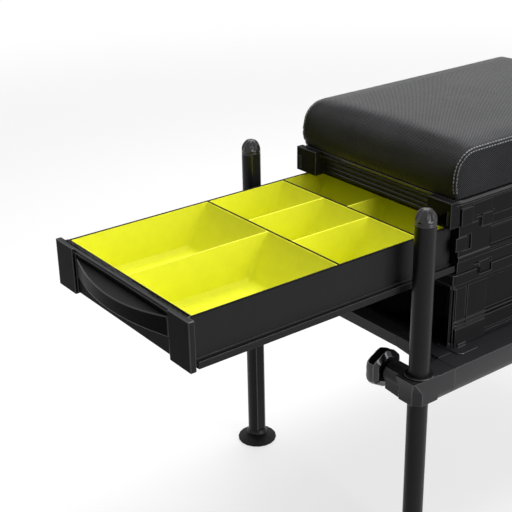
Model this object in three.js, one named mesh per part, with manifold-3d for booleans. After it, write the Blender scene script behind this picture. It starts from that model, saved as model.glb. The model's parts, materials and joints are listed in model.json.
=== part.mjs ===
// Fishing seat box on a four-legged frame, with its side drawer pulled out.
// Millimetres, +Z up. X runs across the box, Y along it, and the drawer opens towards -Y.
// While the pieces are made, Z is 0 on the ground and Y is 0 at the middle of the box.
import * as THREE from 'three';
import { mergeVertices } from 'three/addons/utils/BufferGeometryUtils.js';
import Module from 'manifold-3d';

const wasm = await Module();
wasm.setup();

// Clearances
const SEAT_GAP = 0.3;
const SLIDE_GAP = 0.3;
const SWING_GAP = 0.5;
const CUT_OVERRUN = 5;

// Round shapes: steps for a full turn and for one corner
const TURN_STEPS = 24;
const LEG_STEPS = 20;
const SMALL_TURN_STEPS = 12;
const CORNER_STEPS = 2;
const UNIT_CORNER_STEPS = 1;
const PIVOT_STEPS = 8;
const FOOT_STEPS = 18;

// Stack of units
const UNIT_WIDTH = 406;
const UNIT_LENGTH = 588;
const UNIT_CORNER_RADIUS = 10;
const UNIT_WALL = 8;
const UNIT_FLOOR = 2.4;
const PANEL_RECESS = 5;
const FRONT_RECESS = 8;
const RIM_PROUD = 3;
const PILLAR_WIDTH = 35;
const PILLAR_GROOVE = 4;
const SECOND_PILLAR_WIDTH = 49;
const PILLAR_GROOVE_DEPTH = 3;
const END_PAD_WIDTH = 56;
const RIB_HEIGHT = 4;

// Deep unit
const DEEP_UNIT_HEIGHT = 142;
const DEEP_RIM_HEIGHT = 20;
const DEEP_RIM_LEDGE_HEIGHT = 8;
const DEEP_SKIRT_HEIGHT = 38;
const DEEP_FOOT_HEIGHT = 8;
const DEEP_RIDGE_GAP = 4;
const DEEP_BLOCK_GAP = 3;
const DEEP_BLOCK_PROUD = 2.5;
const DEEP_SLOT_WIDTH = 300;
const DEEP_SLOT_HEIGHT = 7;
const DEEP_SLOT_DEPTH = 4;
const CORNER_SLIT_WIDTH = 2;
const CORNER_SLIT_PITCH = 5;
const CORNER_SLIT_INSET = 6;
const CORNER_SLIT_DEPTH = 2.5;

// Drawer unit
const DRAWER_UNIT_HEIGHT = 89;
const DRAWER_UNIT_POST_WIDTH = 15;
const DRAWER_UNIT_POST_DEPTH = 10;
const EAR_THICKNESS = 4.5;
const EAR_LENGTH = 27;
const EAR_HEIGHT = 25;
const EAR_DROP = 20;
const LEDGE_STEP_HEIGHT = 10;
const LEDGE_STEP = 2;
const LEDGE_DROP = 47;
const SIDE_RIB_DROPS = [22, 60];

// Tray unit
const TRAY_UNIT_HEIGHT = 40;
const TRAY_FLANGE_HEIGHT = 5;
const TRAY_FLANGE_PROUD = 1.5;
const TRAY_PAD_PROUD = 15;
const TRAY_PAD_MARGIN = 3;
const TRAY_RIB_COUNT = 3;
const TRAY_RIB_PROUD = 2;
const TRAY_BLOCK_THICKNESS = 3;
const TRAY_BLOCK_LENGTH = 28;

// Catches that hold each unit to the one under it
const CATCH_FROM_END = 65;
const CATCH_LENGTH = 28;
const CATCH_THICKNESS = 3.6;
const CATCH_ABOVE_SEAM = 10;
const CATCH_BELOW_SEAM = 13;
const CATCH_LIP_REACH = 2.4;
const CATCH_LIP_HEIGHT = 2.4;
const CATCH_PIVOT_RADIUS = 1.5;
const CATCH_PIVOT_LENGTH = 2.5;
const CATCH_PIVOT_DROP = 2.2;
const CATCH_NOTCH_LENGTH = 14;
const CATCH_NOTCH_HEIGHT = 2.5;
const CATCH_POCKET_FLOOR = 4.2;

// Lid
const LID_PLATE_THICKNESS = 7;
const LID_CORNER_RADIUS = 14;
const LID_RECESS_DEPTH = 3;
const LID_RECESS_MARGIN = 24;

// Long lid hinge, on the -X side
const HINGE_END_MARGIN = 54;
const HINGE_KNUCKLES = 7;
const HINGE_PIN_RADIUS = 2;
const HINGE_KNUCKLE_RADIUS = 4.4;
const HINGE_LEAF_THICKNESS = 2.2;
const HINGE_LEAF_HEIGHT = 24;
const HINGE_KNUCKLE_GAP = 0.5;
const HINGE_PIN_OFFSET = 8;
const HINGE_PIN_HEAD = 1;

// Cushion
const CUSHION_HEIGHT = 87;
const CUSHION_WIDTH = 400;
const CUSHION_LENGTH = 594;
const CUSHION_CROWN = 4;
const CUSHION_SHOULDER_RADIUS = 44;
const CUSHION_END_BULGE = 5;
const CUSHION_SIDE_BULGE = 3;
const CUSHION_EDGE_ROUND = 5;
const CUSHION_TUCK = 2;
const CUSHION_SECTIONS = 10;
const CUSHION_SHOULDER_STEPS = 8;
const CUSHION_TOP_STEPS = 8;
const CUSHION_SIDE_STEPS = 4;

// Drawer
const DRAWER_RIM_DROP = 5;
const DRAWER_HALF_WIDTH = 183.8;
const DRAWER_LENGTH = 565;
const DRAWER_KEPT_INSIDE = 32;
const DRAWER_FLOOR_GAP = 0.8;
const DRAWER_WALL = 2.5;
const DRAWER_RIB_THICKNESS = 1.6;
const DRAWER_RIB_SHARES = [0.5009, 0.8106];

// Drawer front
const FRONT_HALF_WIDTH = 200;
const FRONT_ABOVE_RIM = 2;
const FRONT_HEIGHT = 84;
const FRONT_THICKNESS = 16;
const FRONT_CENTRE_RECESS = 6;
const FRONT_CENTRE_RAISE = 2.5;
const FRONT_LIP_HEIGHT = 3;
const FRONT_LIP_PROUD = 3;
const FRONT_LIP_GAP = 2.5;
const FRONT_GROOVE_WIDTH = 5;
const FRONT_GROOVE_DEPTH = 8;
const FRONT_BACK_WALL = 2;
const FRONT_OVERHANG_THICKNESS = 11;

// Drawer handle, a hood that is open underneath
const HANDLE_HALF_WIDTH = 138;
const HANDLE_REACH = 24;
const HANDLE_END_REACH = 12;
const HANDLE_END_LENGTH = 38;
const HANDLE_END_EDGE = 2;
const HANDLE_WALL = 4;
const HANDLE_TOP_DROP = 13;
const HANDLE_FRONT_DROP = 10;
const HANDLE_HEIGHT = 35;
const HANDLE_BOW_STEPS = 14;
const HANDLE_CAVITY_END = 26;

// Drawer inserts
const INSERT_WALL = 1.8;
const INSERT_RIM_THICKNESS = 2;
const INSERT_RIM_CORNER = 3;
const INSERT_FLOOR_CORNER = 12;
const INSERT_SIDE_DRAFT = 9;
const INSERT_NEAR_DRAFT = 4;
const INSERT_END_SLOPE_SHARE = 0.68;
const INSERT_SHORT_SLOPE_SHARE = 0.56;
const INSERT_FLOOR_ROUND = 8;

// Drawer runners: an open-topped channel along each side of the drawer, under a tongue of the unit
const CHANNEL_WIDTH = 13.9;
const CHANNEL_HEIGHT = 12;
const CHANNEL_WALL = 2.5;
const RUNNER_WAY_WALL = 4;
const TONGUE_END_GAP = 6;
const TONGUE_THICKNESS = 3.5;
const TONGUE_WEB_THICKNESS = 4;

// Frame
const RAIL_TOP_HEIGHT = 359;
const BASE_PLATE_THICKNESS = 3;
const BASE_PLATE_LENGTH = 52;
const BASE_PLATE_WIDTH = 60;
const BASE_PLATE_STICKS_OUT = 26;
const BASE_PLATE_CORNER = 12;
const BASE_PLATE_LIP_HEIGHT = 9;
const BASE_PLATE_LIP_THICKNESS = 2.5;
const BASE_PLATE_LIP_LENGTH = 20;
const SIDE_RAIL_WIDTH = 44;
const SIDE_RAIL_HEIGHT = 52;
const SIDE_RAIL_WALL = 3;
const SIDE_RAIL_CHAMFER_WIDTH = 9;
const SIDE_RAIL_CHAMFER_HEIGHT = 18;
const SIDE_RAIL_PAST_UNIT = 37;
const RAIL_FLANGE_REACH = 18;
const RAIL_FLANGE_THICKNESS = 4;
const CROSS_RAIL_DEPTH = 40;
const CROSS_RAIL_HEIGHT = 23;
const CROSS_RAIL_WALL = 2.5;
const CROSS_RAIL_HALF_LENGTH = 103;
const CROSS_RAIL_UNDER_UNIT = 8;

// Corner brackets
const LEG_SIDE_OFFSET = 232;
const LEG_PAST_UNIT = 103.6;
const SLEEVE_RADIUS = 23;
const SLEEVE_LENGTH = 49;
const SLEEVE_ABOVE_RAIL = 2;
const HOUSING_FRONT_REACH = 24.4;
const HOUSING_BACK_REACH = 26;
const HOUSING_CORNER_CUT = 13;
const HOUSING_WAIST_DROP = 25;
const HOUSING_TOP_REACH = 32.4;
const HOUSING_TOP_CORNER_CUT = 2;
const SPIGOT_LENGTH = 30;
const SPIGOT_GAP = 0.3;
const ARM_ROOT_DROP = 12;
const GUSSET_LENGTH = 60;
const GUSSET_REACH = 44;
const GUSSET_INSET = 5;
const LUG_LENGTH = 42;
const LUG_WIDTH = 34;
const LUG_END_DROP = 4;
const LUG_TOP_DROP = 4;
const BOSS_RADIUS = 19;
const BOSS_LENGTH = 4;
const CLAMP_AXIS_DROP = 21;

// Clamp knobs, each moulded on its threaded stud
const STUD_RADIUS = 5;
const STUD_HOLD = 14;
const KNOB_RADIUS = 38;
const KNOB_THICKNESS = 28;
const KNOB_HUB_RADIUS = 12;
const KNOB_HUB_LENGTH = 4;
const KNOB_LOBES = 6;
const KNOB_LOBE_SHARE = 0.05;
const KNOB_STEPS = 24;
const KNOB_FACE_RING_SHARES = [[0, 0.74], [0.14, 0.93], [0.45, 1], [0.78, 0.94], [1, 0.68]];

// Legs and the bushes that they slide in
const LEG_RADIUS = 18;
const LEG_FLAT_OFFSET = 15.5;
const LEG_WALL = 2;
const LEG_BOTTOM_HEIGHT = 26;
const LEG_TUBE_LENGTH = 612;
const BUSH_WALL = 2.2;
const BUSH_FLANGE_RADIUS = 25.6;
const BUSH_FLANGE_THICKNESS = 3.6;

// Leg caps
const CAP_HEIGHT = 27;
const CAP_PLUG_LENGTH = 16;
const CAP_LOBES = 6;
const CAP_LOBE_SHARE = 0.07;
const CAP_STEPS = 18;
const CAP_RINGS = [
  { heightShare: 0, radiusShare: 1, lobed: 0 },
  { heightShare: 0.1, radiusShare: 1, lobed: 0 },
  { heightShare: 0.1, radiusShare: 0.95, lobed: 0 },
  { heightShare: 0.16, radiusShare: 0.95, lobed: 0 },
  { heightShare: 0.16, radiusShare: 1, lobed: 0 },
  { heightShare: 0.42, radiusShare: 1, lobed: 0.2 },
  { heightShare: 0.7, radiusShare: 0.93, lobed: 1 },
  { heightShare: 0.9, radiusShare: 0.7, lobed: 1 },
  { heightShare: 1, radiusShare: 0.36, lobed: 0.3 },
];

// Swivel feet
const BALL_RADIUS = 8;
const BALL_HEIGHT = 20;
const SOCKET_MOUTH_HEIGHT = 15.6;
const BALL_GAP = 0.7;
const SOCKET_MOUTH_RADIUS = 18;
const SOCKET_SKIRT_RADIUS = 22;
const SOCKET_SKIRT_HEIGHT = 7;
const SOCKET_PLUG_LENGTH = 26;
const FOOT_RADIUS = 40;
const FOOT_RIM_HEIGHT = 5;
const FOOT_HUB_RADIUS = 12;
const FOOT_HUB_HEIGHT = 11;
const FOOT_STEM_RADIUS = 4;
const FOOT_EDGE_ROUND = 1.5;

// Levels and faces that follow from the sizes above
const DEEP_BOTTOM = RAIL_TOP_HEIGHT + BASE_PLATE_THICKNESS;
const DEEP_TOP = DEEP_BOTTOM + DEEP_UNIT_HEIGHT;
const DRAWER_UNIT_TOP = DEEP_TOP + DRAWER_UNIT_HEIGHT;
const TRAY_TOP = DRAWER_UNIT_TOP + TRAY_UNIT_HEIGHT;
const LID_TOP = TRAY_TOP + LID_PLATE_THICKNESS;
const CUSHION_TOP = LID_TOP + CUSHION_HEIGHT;
const UNIT_SIDE = UNIT_WIDTH / 2;
const UNIT_END = UNIT_LENGTH / 2;
const PANEL_SIDE = UNIT_SIDE - PANEL_RECESS;
const INNER_SIDE = UNIT_SIDE - UNIT_WALL;
const INNER_END = UNIT_END - UNIT_WALL;
const DRAWER_MOUTH = -UNIT_END + FRONT_RECESS;
const PILLAR_ZONE = PILLAR_WIDTH + PILLAR_GROOVE + SECOND_PILLAR_WIDTH;
const DRAWER_RIM = DRAWER_UNIT_TOP - DRAWER_RIM_DROP;
const DRAWER_BOTTOM = DEEP_TOP + SEAT_GAP + UNIT_FLOOR + DRAWER_FLOOR_GAP;
const CHANNEL_TOP = DRAWER_BOTTOM + CHANNEL_HEIGHT;
const RUNNER_WAY_SIDE = UNIT_SIDE - RUNNER_WAY_WALL;
const DRAWER_FRONT_END = DRAWER_MOUTH - DRAWER_LENGTH + DRAWER_KEPT_INSIDE;
const DRAWER_REAR_END = DRAWER_FRONT_END + DRAWER_LENGTH;
const FRONT_FACE = DRAWER_FRONT_END - FRONT_THICKNESS;
const FRONT_TOP = DRAWER_RIM + FRONT_ABOVE_RIM;
const FRONT_BOTTOM = FRONT_TOP - FRONT_HEIGHT;
const CENTRE_FACE = FRONT_FACE + FRONT_CENTRE_RECESS;
const LEG_END_OFFSET = UNIT_END + LEG_PAST_UNIT;
const LEG_TOP = LEG_BOTTOM_HEIGHT + LEG_TUBE_LENGTH;
const CLAMP_AXIS_HEIGHT = RAIL_TOP_HEIGHT - CLAMP_AXIS_DROP;
const RAIL_BOTTOM_HEIGHT = RAIL_TOP_HEIGHT - SIDE_RAIL_HEIGHT;
const RAIL_INNER_SIDE = LEG_SIDE_OFFSET - SIDE_RAIL_WIDTH / 2;
const RAIL_OUTER_SIDE = LEG_SIDE_OFFSET + SIDE_RAIL_WIDTH / 2;
const RAIL_END = UNIT_END + SIDE_RAIL_PAST_UNIT;
const CROSS_RAIL_INNER_END = UNIT_END - CROSS_RAIL_UNDER_UNIT;
const CROSS_RAIL_OUTER_END = CROSS_RAIL_INNER_END + CROSS_RAIL_DEPTH;
const CROSS_RAIL_BOTTOM = RAIL_TOP_HEIGHT - CROSS_RAIL_HEIGHT;
const PART_FRONT = CENTRE_FACE - SEAT_GAP - HANDLE_REACH;
const PART_BACK = LEG_END_OFFSET + FOOT_RADIUS;

// Materials
const paint = (color, roughness, metalness) => new THREE.MeshStandardMaterial({ color, roughness, metalness });
const finishes = {
  casing: () => paint(0x17171a, 0.5, 0),
  drawerPlastic: () => paint(0x1b1b1d, 0.42, 0),
  insertLime: () => paint(0xdfe617, 0.5, 0),
  railMetal: () => paint(0x2c2b2f, 0.35, 0.6),
  bracketMetal: () => paint(0x1a191c, 0.28, 0.5),
  legMetal: () => paint(0x1e1e20, 0.55, 0.4),
  knobPlastic: () => paint(0x111013, 0.2, 0),
  bushPlastic: () => paint(0x141416, 0.45, 0),
  rubber: () => paint(0x121213, 0.85, 0),
  steel: () => paint(0x8b8c90, 0.35, 0.9),
  vinyl: () => paint(0x29292c, 0.6, 0),
};

// Solids: three.js makes the shapes, and they are only joined and cut as solids
function closedGeometry(geometry) {
  const bare = geometry.clone();
  for (const name of Object.keys(bare.attributes)) if (name !== 'position') bare.deleteAttribute(name);
  const merged = mergeVertices(bare);
  const place = merged.attributes.position;
  const faces = [];
  let volume = 0;
  const [a, b, c] = [new THREE.Vector3(), new THREE.Vector3(), new THREE.Vector3()];
  for (let i = 0; i < merged.index.count; i += 3) {
    const corners = [0, 1, 2].map((k) => merged.index.getX(i + k));
    if (new Set(corners).size < 3) continue;
    a.fromBufferAttribute(place, corners[0]);
    b.fromBufferAttribute(place, corners[1]);
    c.fromBufferAttribute(place, corners[2]);
    volume += a.dot(b.cross(c));
    faces.push(corners);
  }
  if (volume < 0) faces.forEach((corners) => corners.reverse());
  merged.setIndex(faces.flat());
  return merged;
}

function solid(geometry) {
  const closed = closedGeometry(geometry);
  return new wasm.Manifold(new wasm.Mesh({
    numProp: 3,
    vertProperties: new Float32Array(closed.attributes.position.array),
    triVerts: new Uint32Array(closed.index.array),
  }));
}

function join(pieces) {
  return pieces.reduce((whole, piece) => whole.add(piece));
}

function cut(piece, tools) {
  return tools.reduce((rest, tool) => rest.subtract(tool), piece);
}

function toGeometry(shape) {
  const mesh = shape.getMesh();
  const places = new Float32Array(mesh.numVert * 3);
  for (let i = 0; i < mesh.numVert; i += 1) {
    for (let k = 0; k < 3; k += 1) places[3 * i + k] = mesh.vertProperties[mesh.numProp * i + k];
  }
  const geometry = new THREE.BufferGeometry();
  geometry.setAttribute('position', new THREE.BufferAttribute(places, 3));
  geometry.setIndex(new THREE.BufferAttribute(new Uint32Array(mesh.triVerts), 1));
  return geometry;
}

// A box between two limits on each axis
function boxGeometry([x0, x1], [y0, y1], [z0, z1]) {
  const box = new THREE.BoxGeometry(x1 - x0, y1 - y0, z1 - z0);
  return box.translate((x0 + x1) / 2, (y0 + y1) / 2, (z0 + z1) / 2);
}

const block = (xs, ys, zs) => solid(boxGeometry(xs, ys, zs));

// An outline swept along one axis, between two limits
const SWEEP_AXES = {
  x: [new THREE.Vector3(0, 1, 0), new THREE.Vector3(0, 0, 1), new THREE.Vector3(1, 0, 0)],
  y: [new THREE.Vector3(-1, 0, 0), new THREE.Vector3(0, 0, 1), new THREE.Vector3(0, 1, 0)],
  z: [new THREE.Vector3(1, 0, 0), new THREE.Vector3(0, 1, 0), new THREE.Vector3(0, 0, 1)],
};

function sweptGeometry(outline, axis, from, to, steps = CORNER_STEPS) {
  const geometry = new THREE.ExtrudeGeometry(outline, {
    depth: to - from,
    bevelEnabled: false,
    curveSegments: steps,
  });
  geometry.translate(0, 0, from);
  geometry.applyMatrix4(new THREE.Matrix4().makeBasis(...SWEEP_AXES[axis]));
  return geometry;
}

const swept = (outline, axis, from, to, steps) => solid(sweptGeometry(outline, axis, from, to, steps));

// Outline points are pairs; a sweep along Y takes them as (-X, Z)
const polygon = (points) => new THREE.Shape(points.map(([u, v]) => new THREE.Vector2(u, v)));

function roundedRectangle([x0, x1], [y0, y1], radius) {
  const outline = new THREE.Shape();
  const quarter = Math.PI / 2;
  outline.moveTo(x1, y0 + radius);
  outline.absarc(x1 - radius, y1 - radius, radius, 0, quarter);
  outline.absarc(x0 + radius, y1 - radius, radius, quarter, 2 * quarter);
  outline.absarc(x0 + radius, y0 + radius, radius, 2 * quarter, 3 * quarter);
  outline.absarc(x1 - radius, y0 + radius, radius, 3 * quarter, 4 * quarter);
  return outline;
}

const roundedSlab = (xs, ys, radius, from, to) => swept(roundedRectangle(xs, ys, radius), 'z', from, to);

const centredSlab = (halfWidth, halfLength, radius, from, to, steps = UNIT_CORNER_STEPS) => swept(
  roundedRectangle([-halfWidth, halfWidth], [-halfLength, halfLength], radius), 'z', from, to, steps,
);

// A round bar along one axis, through a point, between two limits on that axis
function rod(axis, radius, [x, y, z], from, to, steps = SMALL_TURN_STEPS) {
  const bar = new THREE.CylinderGeometry(radius, radius, to - from, steps);
  const middle = (from + to) / 2;
  if (axis === 'x') return solid(bar.rotateZ(Math.PI / 2).translate(middle, y, z));
  if (axis === 'y') return solid(bar.translate(x, middle, z));
  return solid(bar.rotateX(Math.PI / 2).translate(x, y, middle));
}

// A turned piece: pairs of radius and height, closed on the Z axis
function turned(profile, steps = TURN_STEPS) {
  const points = profile.map(([radius, height]) => new THREE.Vector2(radius, height));
  return new THREE.LatheGeometry(points, steps).rotateX(Math.PI / 2);
}

// A closed skin through rings of the same number of points
function loftGeometry(rings) {
  const count = rings[0].length;
  const places = rings.flat().flatMap((point) => point.toArray());
  const centre = (ring) => ring.reduce((sum, point) => sum.add(point), new THREE.Vector3()).divideScalar(count);
  places.push(...centre(rings[0]).toArray(), ...centre(rings[rings.length - 1]).toArray());
  const faces = [];
  const last = (rings.length - 1) * count;
  for (let i = 0; i < count; i += 1) {
    const next = (i + 1) % count;
    for (let k = 0; k < last; k += count) {
      faces.push(k + i, k + next, k + count + next, k + i, k + count + next, k + count + i);
    }
    faces.push(last + count, next, i, last + count + 1, last + i, last + next);
  }
  const geometry = new THREE.BufferGeometry();
  geometry.setAttribute('position', new THREE.Float32BufferAttribute(places, 3));
  geometry.setIndex(faces);
  return geometry;
}

// The four ways to mirror a piece that is drawn at the +X, -Y corner
const CORNERS = [
  { name: 'front_right', x: 1, y: 1 },
  { name: 'front_left', x: -1, y: 1 },
  { name: 'rear_right', x: 1, y: -1 },
  { name: 'rear_left', x: -1, y: -1 },
];
const SIDES = [{ name: 'right', x: 1, y: 1 }, { name: 'left', x: -1, y: 1 }];

function mirrored(geometry, { x, y }) {
  return closedGeometry(geometry.clone().scale(x, y, 1));
}

const atCorners = (shape) => CORNERS.map((corner) => solid(mirrored(toGeometry(shape), corner)));
const atSides = (shape) => SIDES.map((side) => solid(mirrored(toGeometry(shape), side)));

const part = new THREE.Group();
const assembly = new THREE.Group();
part.add(assembly);

function addPiece(name, geometry, material) {
  const mesh = new THREE.Mesh(closedGeometry(geometry), material);
  mesh.name = name;
  assembly.add(mesh);
}

const addSolid = (name, shape, material) => addPiece(name, toGeometry(shape), material);

function addAtCorners(name, shape, material) {
  const geometry = toGeometry(shape);
  CORNERS.forEach((corner) => addPiece(`${name}_${corner.name}`, mirrored(geometry, corner), material()));
}

// Legs: a D-section, its flat turned to the clamp
function dOutline(radius, flatOffset) {
  const half = Math.acos(flatOffset / radius);
  const outline = new THREE.Shape();
  const sweep = 2 * (Math.PI - half);
  for (let i = 0; i <= LEG_STEPS; i += 1) {
    const angle = -Math.PI + half + (sweep * i) / LEG_STEPS;
    const point = [LEG_SIDE_OFFSET + radius * Math.cos(angle), -LEG_END_OFFSET + radius * Math.sin(angle)];
    if (i === 0) outline.moveTo(...point);
    else outline.lineTo(...point);
  }
  return outline;
}

const legAxis = [LEG_SIDE_OFFSET, -LEG_END_OFFSET, 0];
const atLeg = (geometry) => geometry.translate(...legAxis);

function makeLegs() {
  const outer = swept(dOutline(LEG_RADIUS, LEG_FLAT_OFFSET), 'z', LEG_BOTTOM_HEIGHT, LEG_TOP);
  const bore = swept(
    dOutline(LEG_RADIUS - LEG_WALL, LEG_FLAT_OFFSET - LEG_WALL),
    'z', LEG_BOTTOM_HEIGHT - CUT_OVERRUN, LEG_TOP + CUT_OVERRUN,
  );
  addAtCorners('leg_tube', cut(outer, [bore]), finishes.legMetal);
}

// A ring of points round the Z axis, swelling in lobes
function lobedRing(radius, height, lobes, share, steps) {
  return Array.from({ length: steps }, (_, i) => {
    const angle = (2 * Math.PI * i) / steps;
    const reach = radius * (1 - share * (1 - Math.cos(lobes * angle)) / 2);
    return new THREE.Vector3(reach * Math.cos(angle), reach * Math.sin(angle), height);
  });
}

function makeLegCaps() {
  const rings = CAP_RINGS.map(({ heightShare, radiusShare, lobed }) => lobedRing(
    LEG_RADIUS * radiusShare, LEG_TOP + SEAT_GAP + CAP_HEIGHT * heightShare,
    CAP_LOBES, CAP_LOBE_SHARE * lobed * 2, CAP_STEPS,
  ));
  const dome = solid(atLeg(loftGeometry(rings)));
  const plugRadius = LEG_FLAT_OFFSET - LEG_WALL - SEAT_GAP;
  const plug = rod('z', plugRadius, legAxis, LEG_TOP - CAP_PLUG_LENGTH, LEG_TOP + SEAT_GAP * 2);
  addAtCorners('leg_cap', join([dome, plug]), finishes.bushPlastic);
}

function makeFeet() {
  const mouth = SOCKET_MOUTH_HEIGHT;
  const flangeTop = LEG_BOTTOM_HEIGHT - SEAT_GAP;
  const plugRadius = LEG_FLAT_OFFSET - LEG_WALL - SEAT_GAP;
  const socketRadius = BALL_RADIUS + BALL_GAP;
  const body = solid(atLeg(turned([
    [0, mouth], [SOCKET_MOUTH_RADIUS, mouth], [SOCKET_SKIRT_RADIUS, flangeTop - SOCKET_SKIRT_HEIGHT],
    [LEG_RADIUS - SEAT_GAP, flangeTop], [plugRadius, flangeTop],
    [plugRadius, flangeTop + SOCKET_PLUG_LENGTH], [0, flangeTop + SOCKET_PLUG_LENGTH],
  ], SMALL_TURN_STEPS)));
  const ball = (radius) => solid(atLeg(
    new THREE.SphereGeometry(radius, SMALL_TURN_STEPS, SMALL_TURN_STEPS / 2).rotateX(Math.PI / 2)
      .translate(0, 0, BALL_HEIGHT),
  ));
  addAtCorners('foot_socket', cut(body, [ball(socketRadius)]), finishes.bushPlastic);

  const hubTop = FOOT_HUB_HEIGHT;
  const disc = solid(atLeg(turned([
    [0, 0], [FOOT_RADIUS - FOOT_EDGE_ROUND, 0], [FOOT_RADIUS, FOOT_EDGE_ROUND],
    [FOOT_RADIUS, FOOT_RIM_HEIGHT], [FOOT_HUB_RADIUS, hubTop], [0, hubTop],
  ], FOOT_STEPS)));
  const stem = rod('z', FOOT_STEM_RADIUS, legAxis, FOOT_RIM_HEIGHT, BALL_HEIGHT);
  addAtCorners('foot', join([disc, stem, ball(BALL_RADIUS)]), finishes.rubber);
}

// Frame rails, the long ones with a flange under the units; a sweep along Y turns an outline's X round
function sideRailOutline(wall) {
  const [x0, x1] = [RAIL_INNER_SIDE + wall, RAIL_OUTER_SIDE - wall];
  const [z0, z1] = [RAIL_BOTTOM_HEIGHT + wall, RAIL_TOP_HEIGHT - wall];
  const slope = SIDE_RAIL_CHAMFER_WIDTH / SIDE_RAIL_CHAMFER_HEIGHT;
  const rise = SIDE_RAIL_CHAMFER_HEIGHT - wall * slope;
  return polygon([[-x0, z0], [-x0, z1], [-x1, z1], [-x1, z0 + rise], [-x1 + rise * slope, z0]]);
}

function makeRails() {
  const tube = cut(swept(sideRailOutline(0), 'y', -RAIL_END, RAIL_END), [
    swept(sideRailOutline(SIDE_RAIL_WALL), 'y', -RAIL_END - CUT_OVERRUN, RAIL_END + CUT_OVERRUN),
  ]);
  const flangeEnd = CROSS_RAIL_INNER_END - SWING_GAP;
  const flange = block(
    [RAIL_INNER_SIDE - RAIL_FLANGE_REACH, RAIL_INNER_SIDE + SIDE_RAIL_WALL], [-flangeEnd, flangeEnd],
    [RAIL_TOP_HEIGHT - RAIL_FLANGE_THICKNESS, RAIL_TOP_HEIGHT],
  );
  const rail = toGeometry(join([tube, flange]));
  SIDES.forEach((side) =>
    addPiece(`side_rail_${side.name}`, mirrored(rail, side), finishes.railMetal()));

  const ys = [-CROSS_RAIL_OUTER_END, -CROSS_RAIL_INNER_END];
  const zs = [CROSS_RAIL_BOTTOM, RAIL_TOP_HEIGHT];
  const inset = ([low, high]) => [low + CROSS_RAIL_WALL, high - CROSS_RAIL_WALL];
  const reach = CROSS_RAIL_HALF_LENGTH;
  const crossTube = cut(block([-reach, reach], ys, zs), [
    block([-reach - CUT_OVERRUN, reach + CUT_OVERRUN], inset(ys), inset(zs)),
  ]);
  const ends = [{ name: 'front', x: 1, y: 1 }, { name: 'rear', x: 1, y: -1 }];
  ends.forEach((end) =>
    addPiece(`cross_rail_${end.name}`, mirrored(toGeometry(crossTube), end), finishes.railMetal()));
}

// One level of the leg housing: its outer front corner is cut off
function housingRing(frontReach, cornerCut, height) {
  const inner = LEG_SIDE_OFFSET - SLEEVE_RADIUS;
  const back = -LEG_END_OFFSET + HOUSING_BACK_REACH;
  const front = -LEG_END_OFFSET - frontReach;
  return [
    [RAIL_OUTER_SIDE, back], [inner, back], [inner, front],
    [RAIL_OUTER_SIDE - cornerCut, front], [RAIL_OUTER_SIDE, front + cornerCut],
  ].map(([x, y]) => new THREE.Vector3(x, y, height));
}

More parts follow.
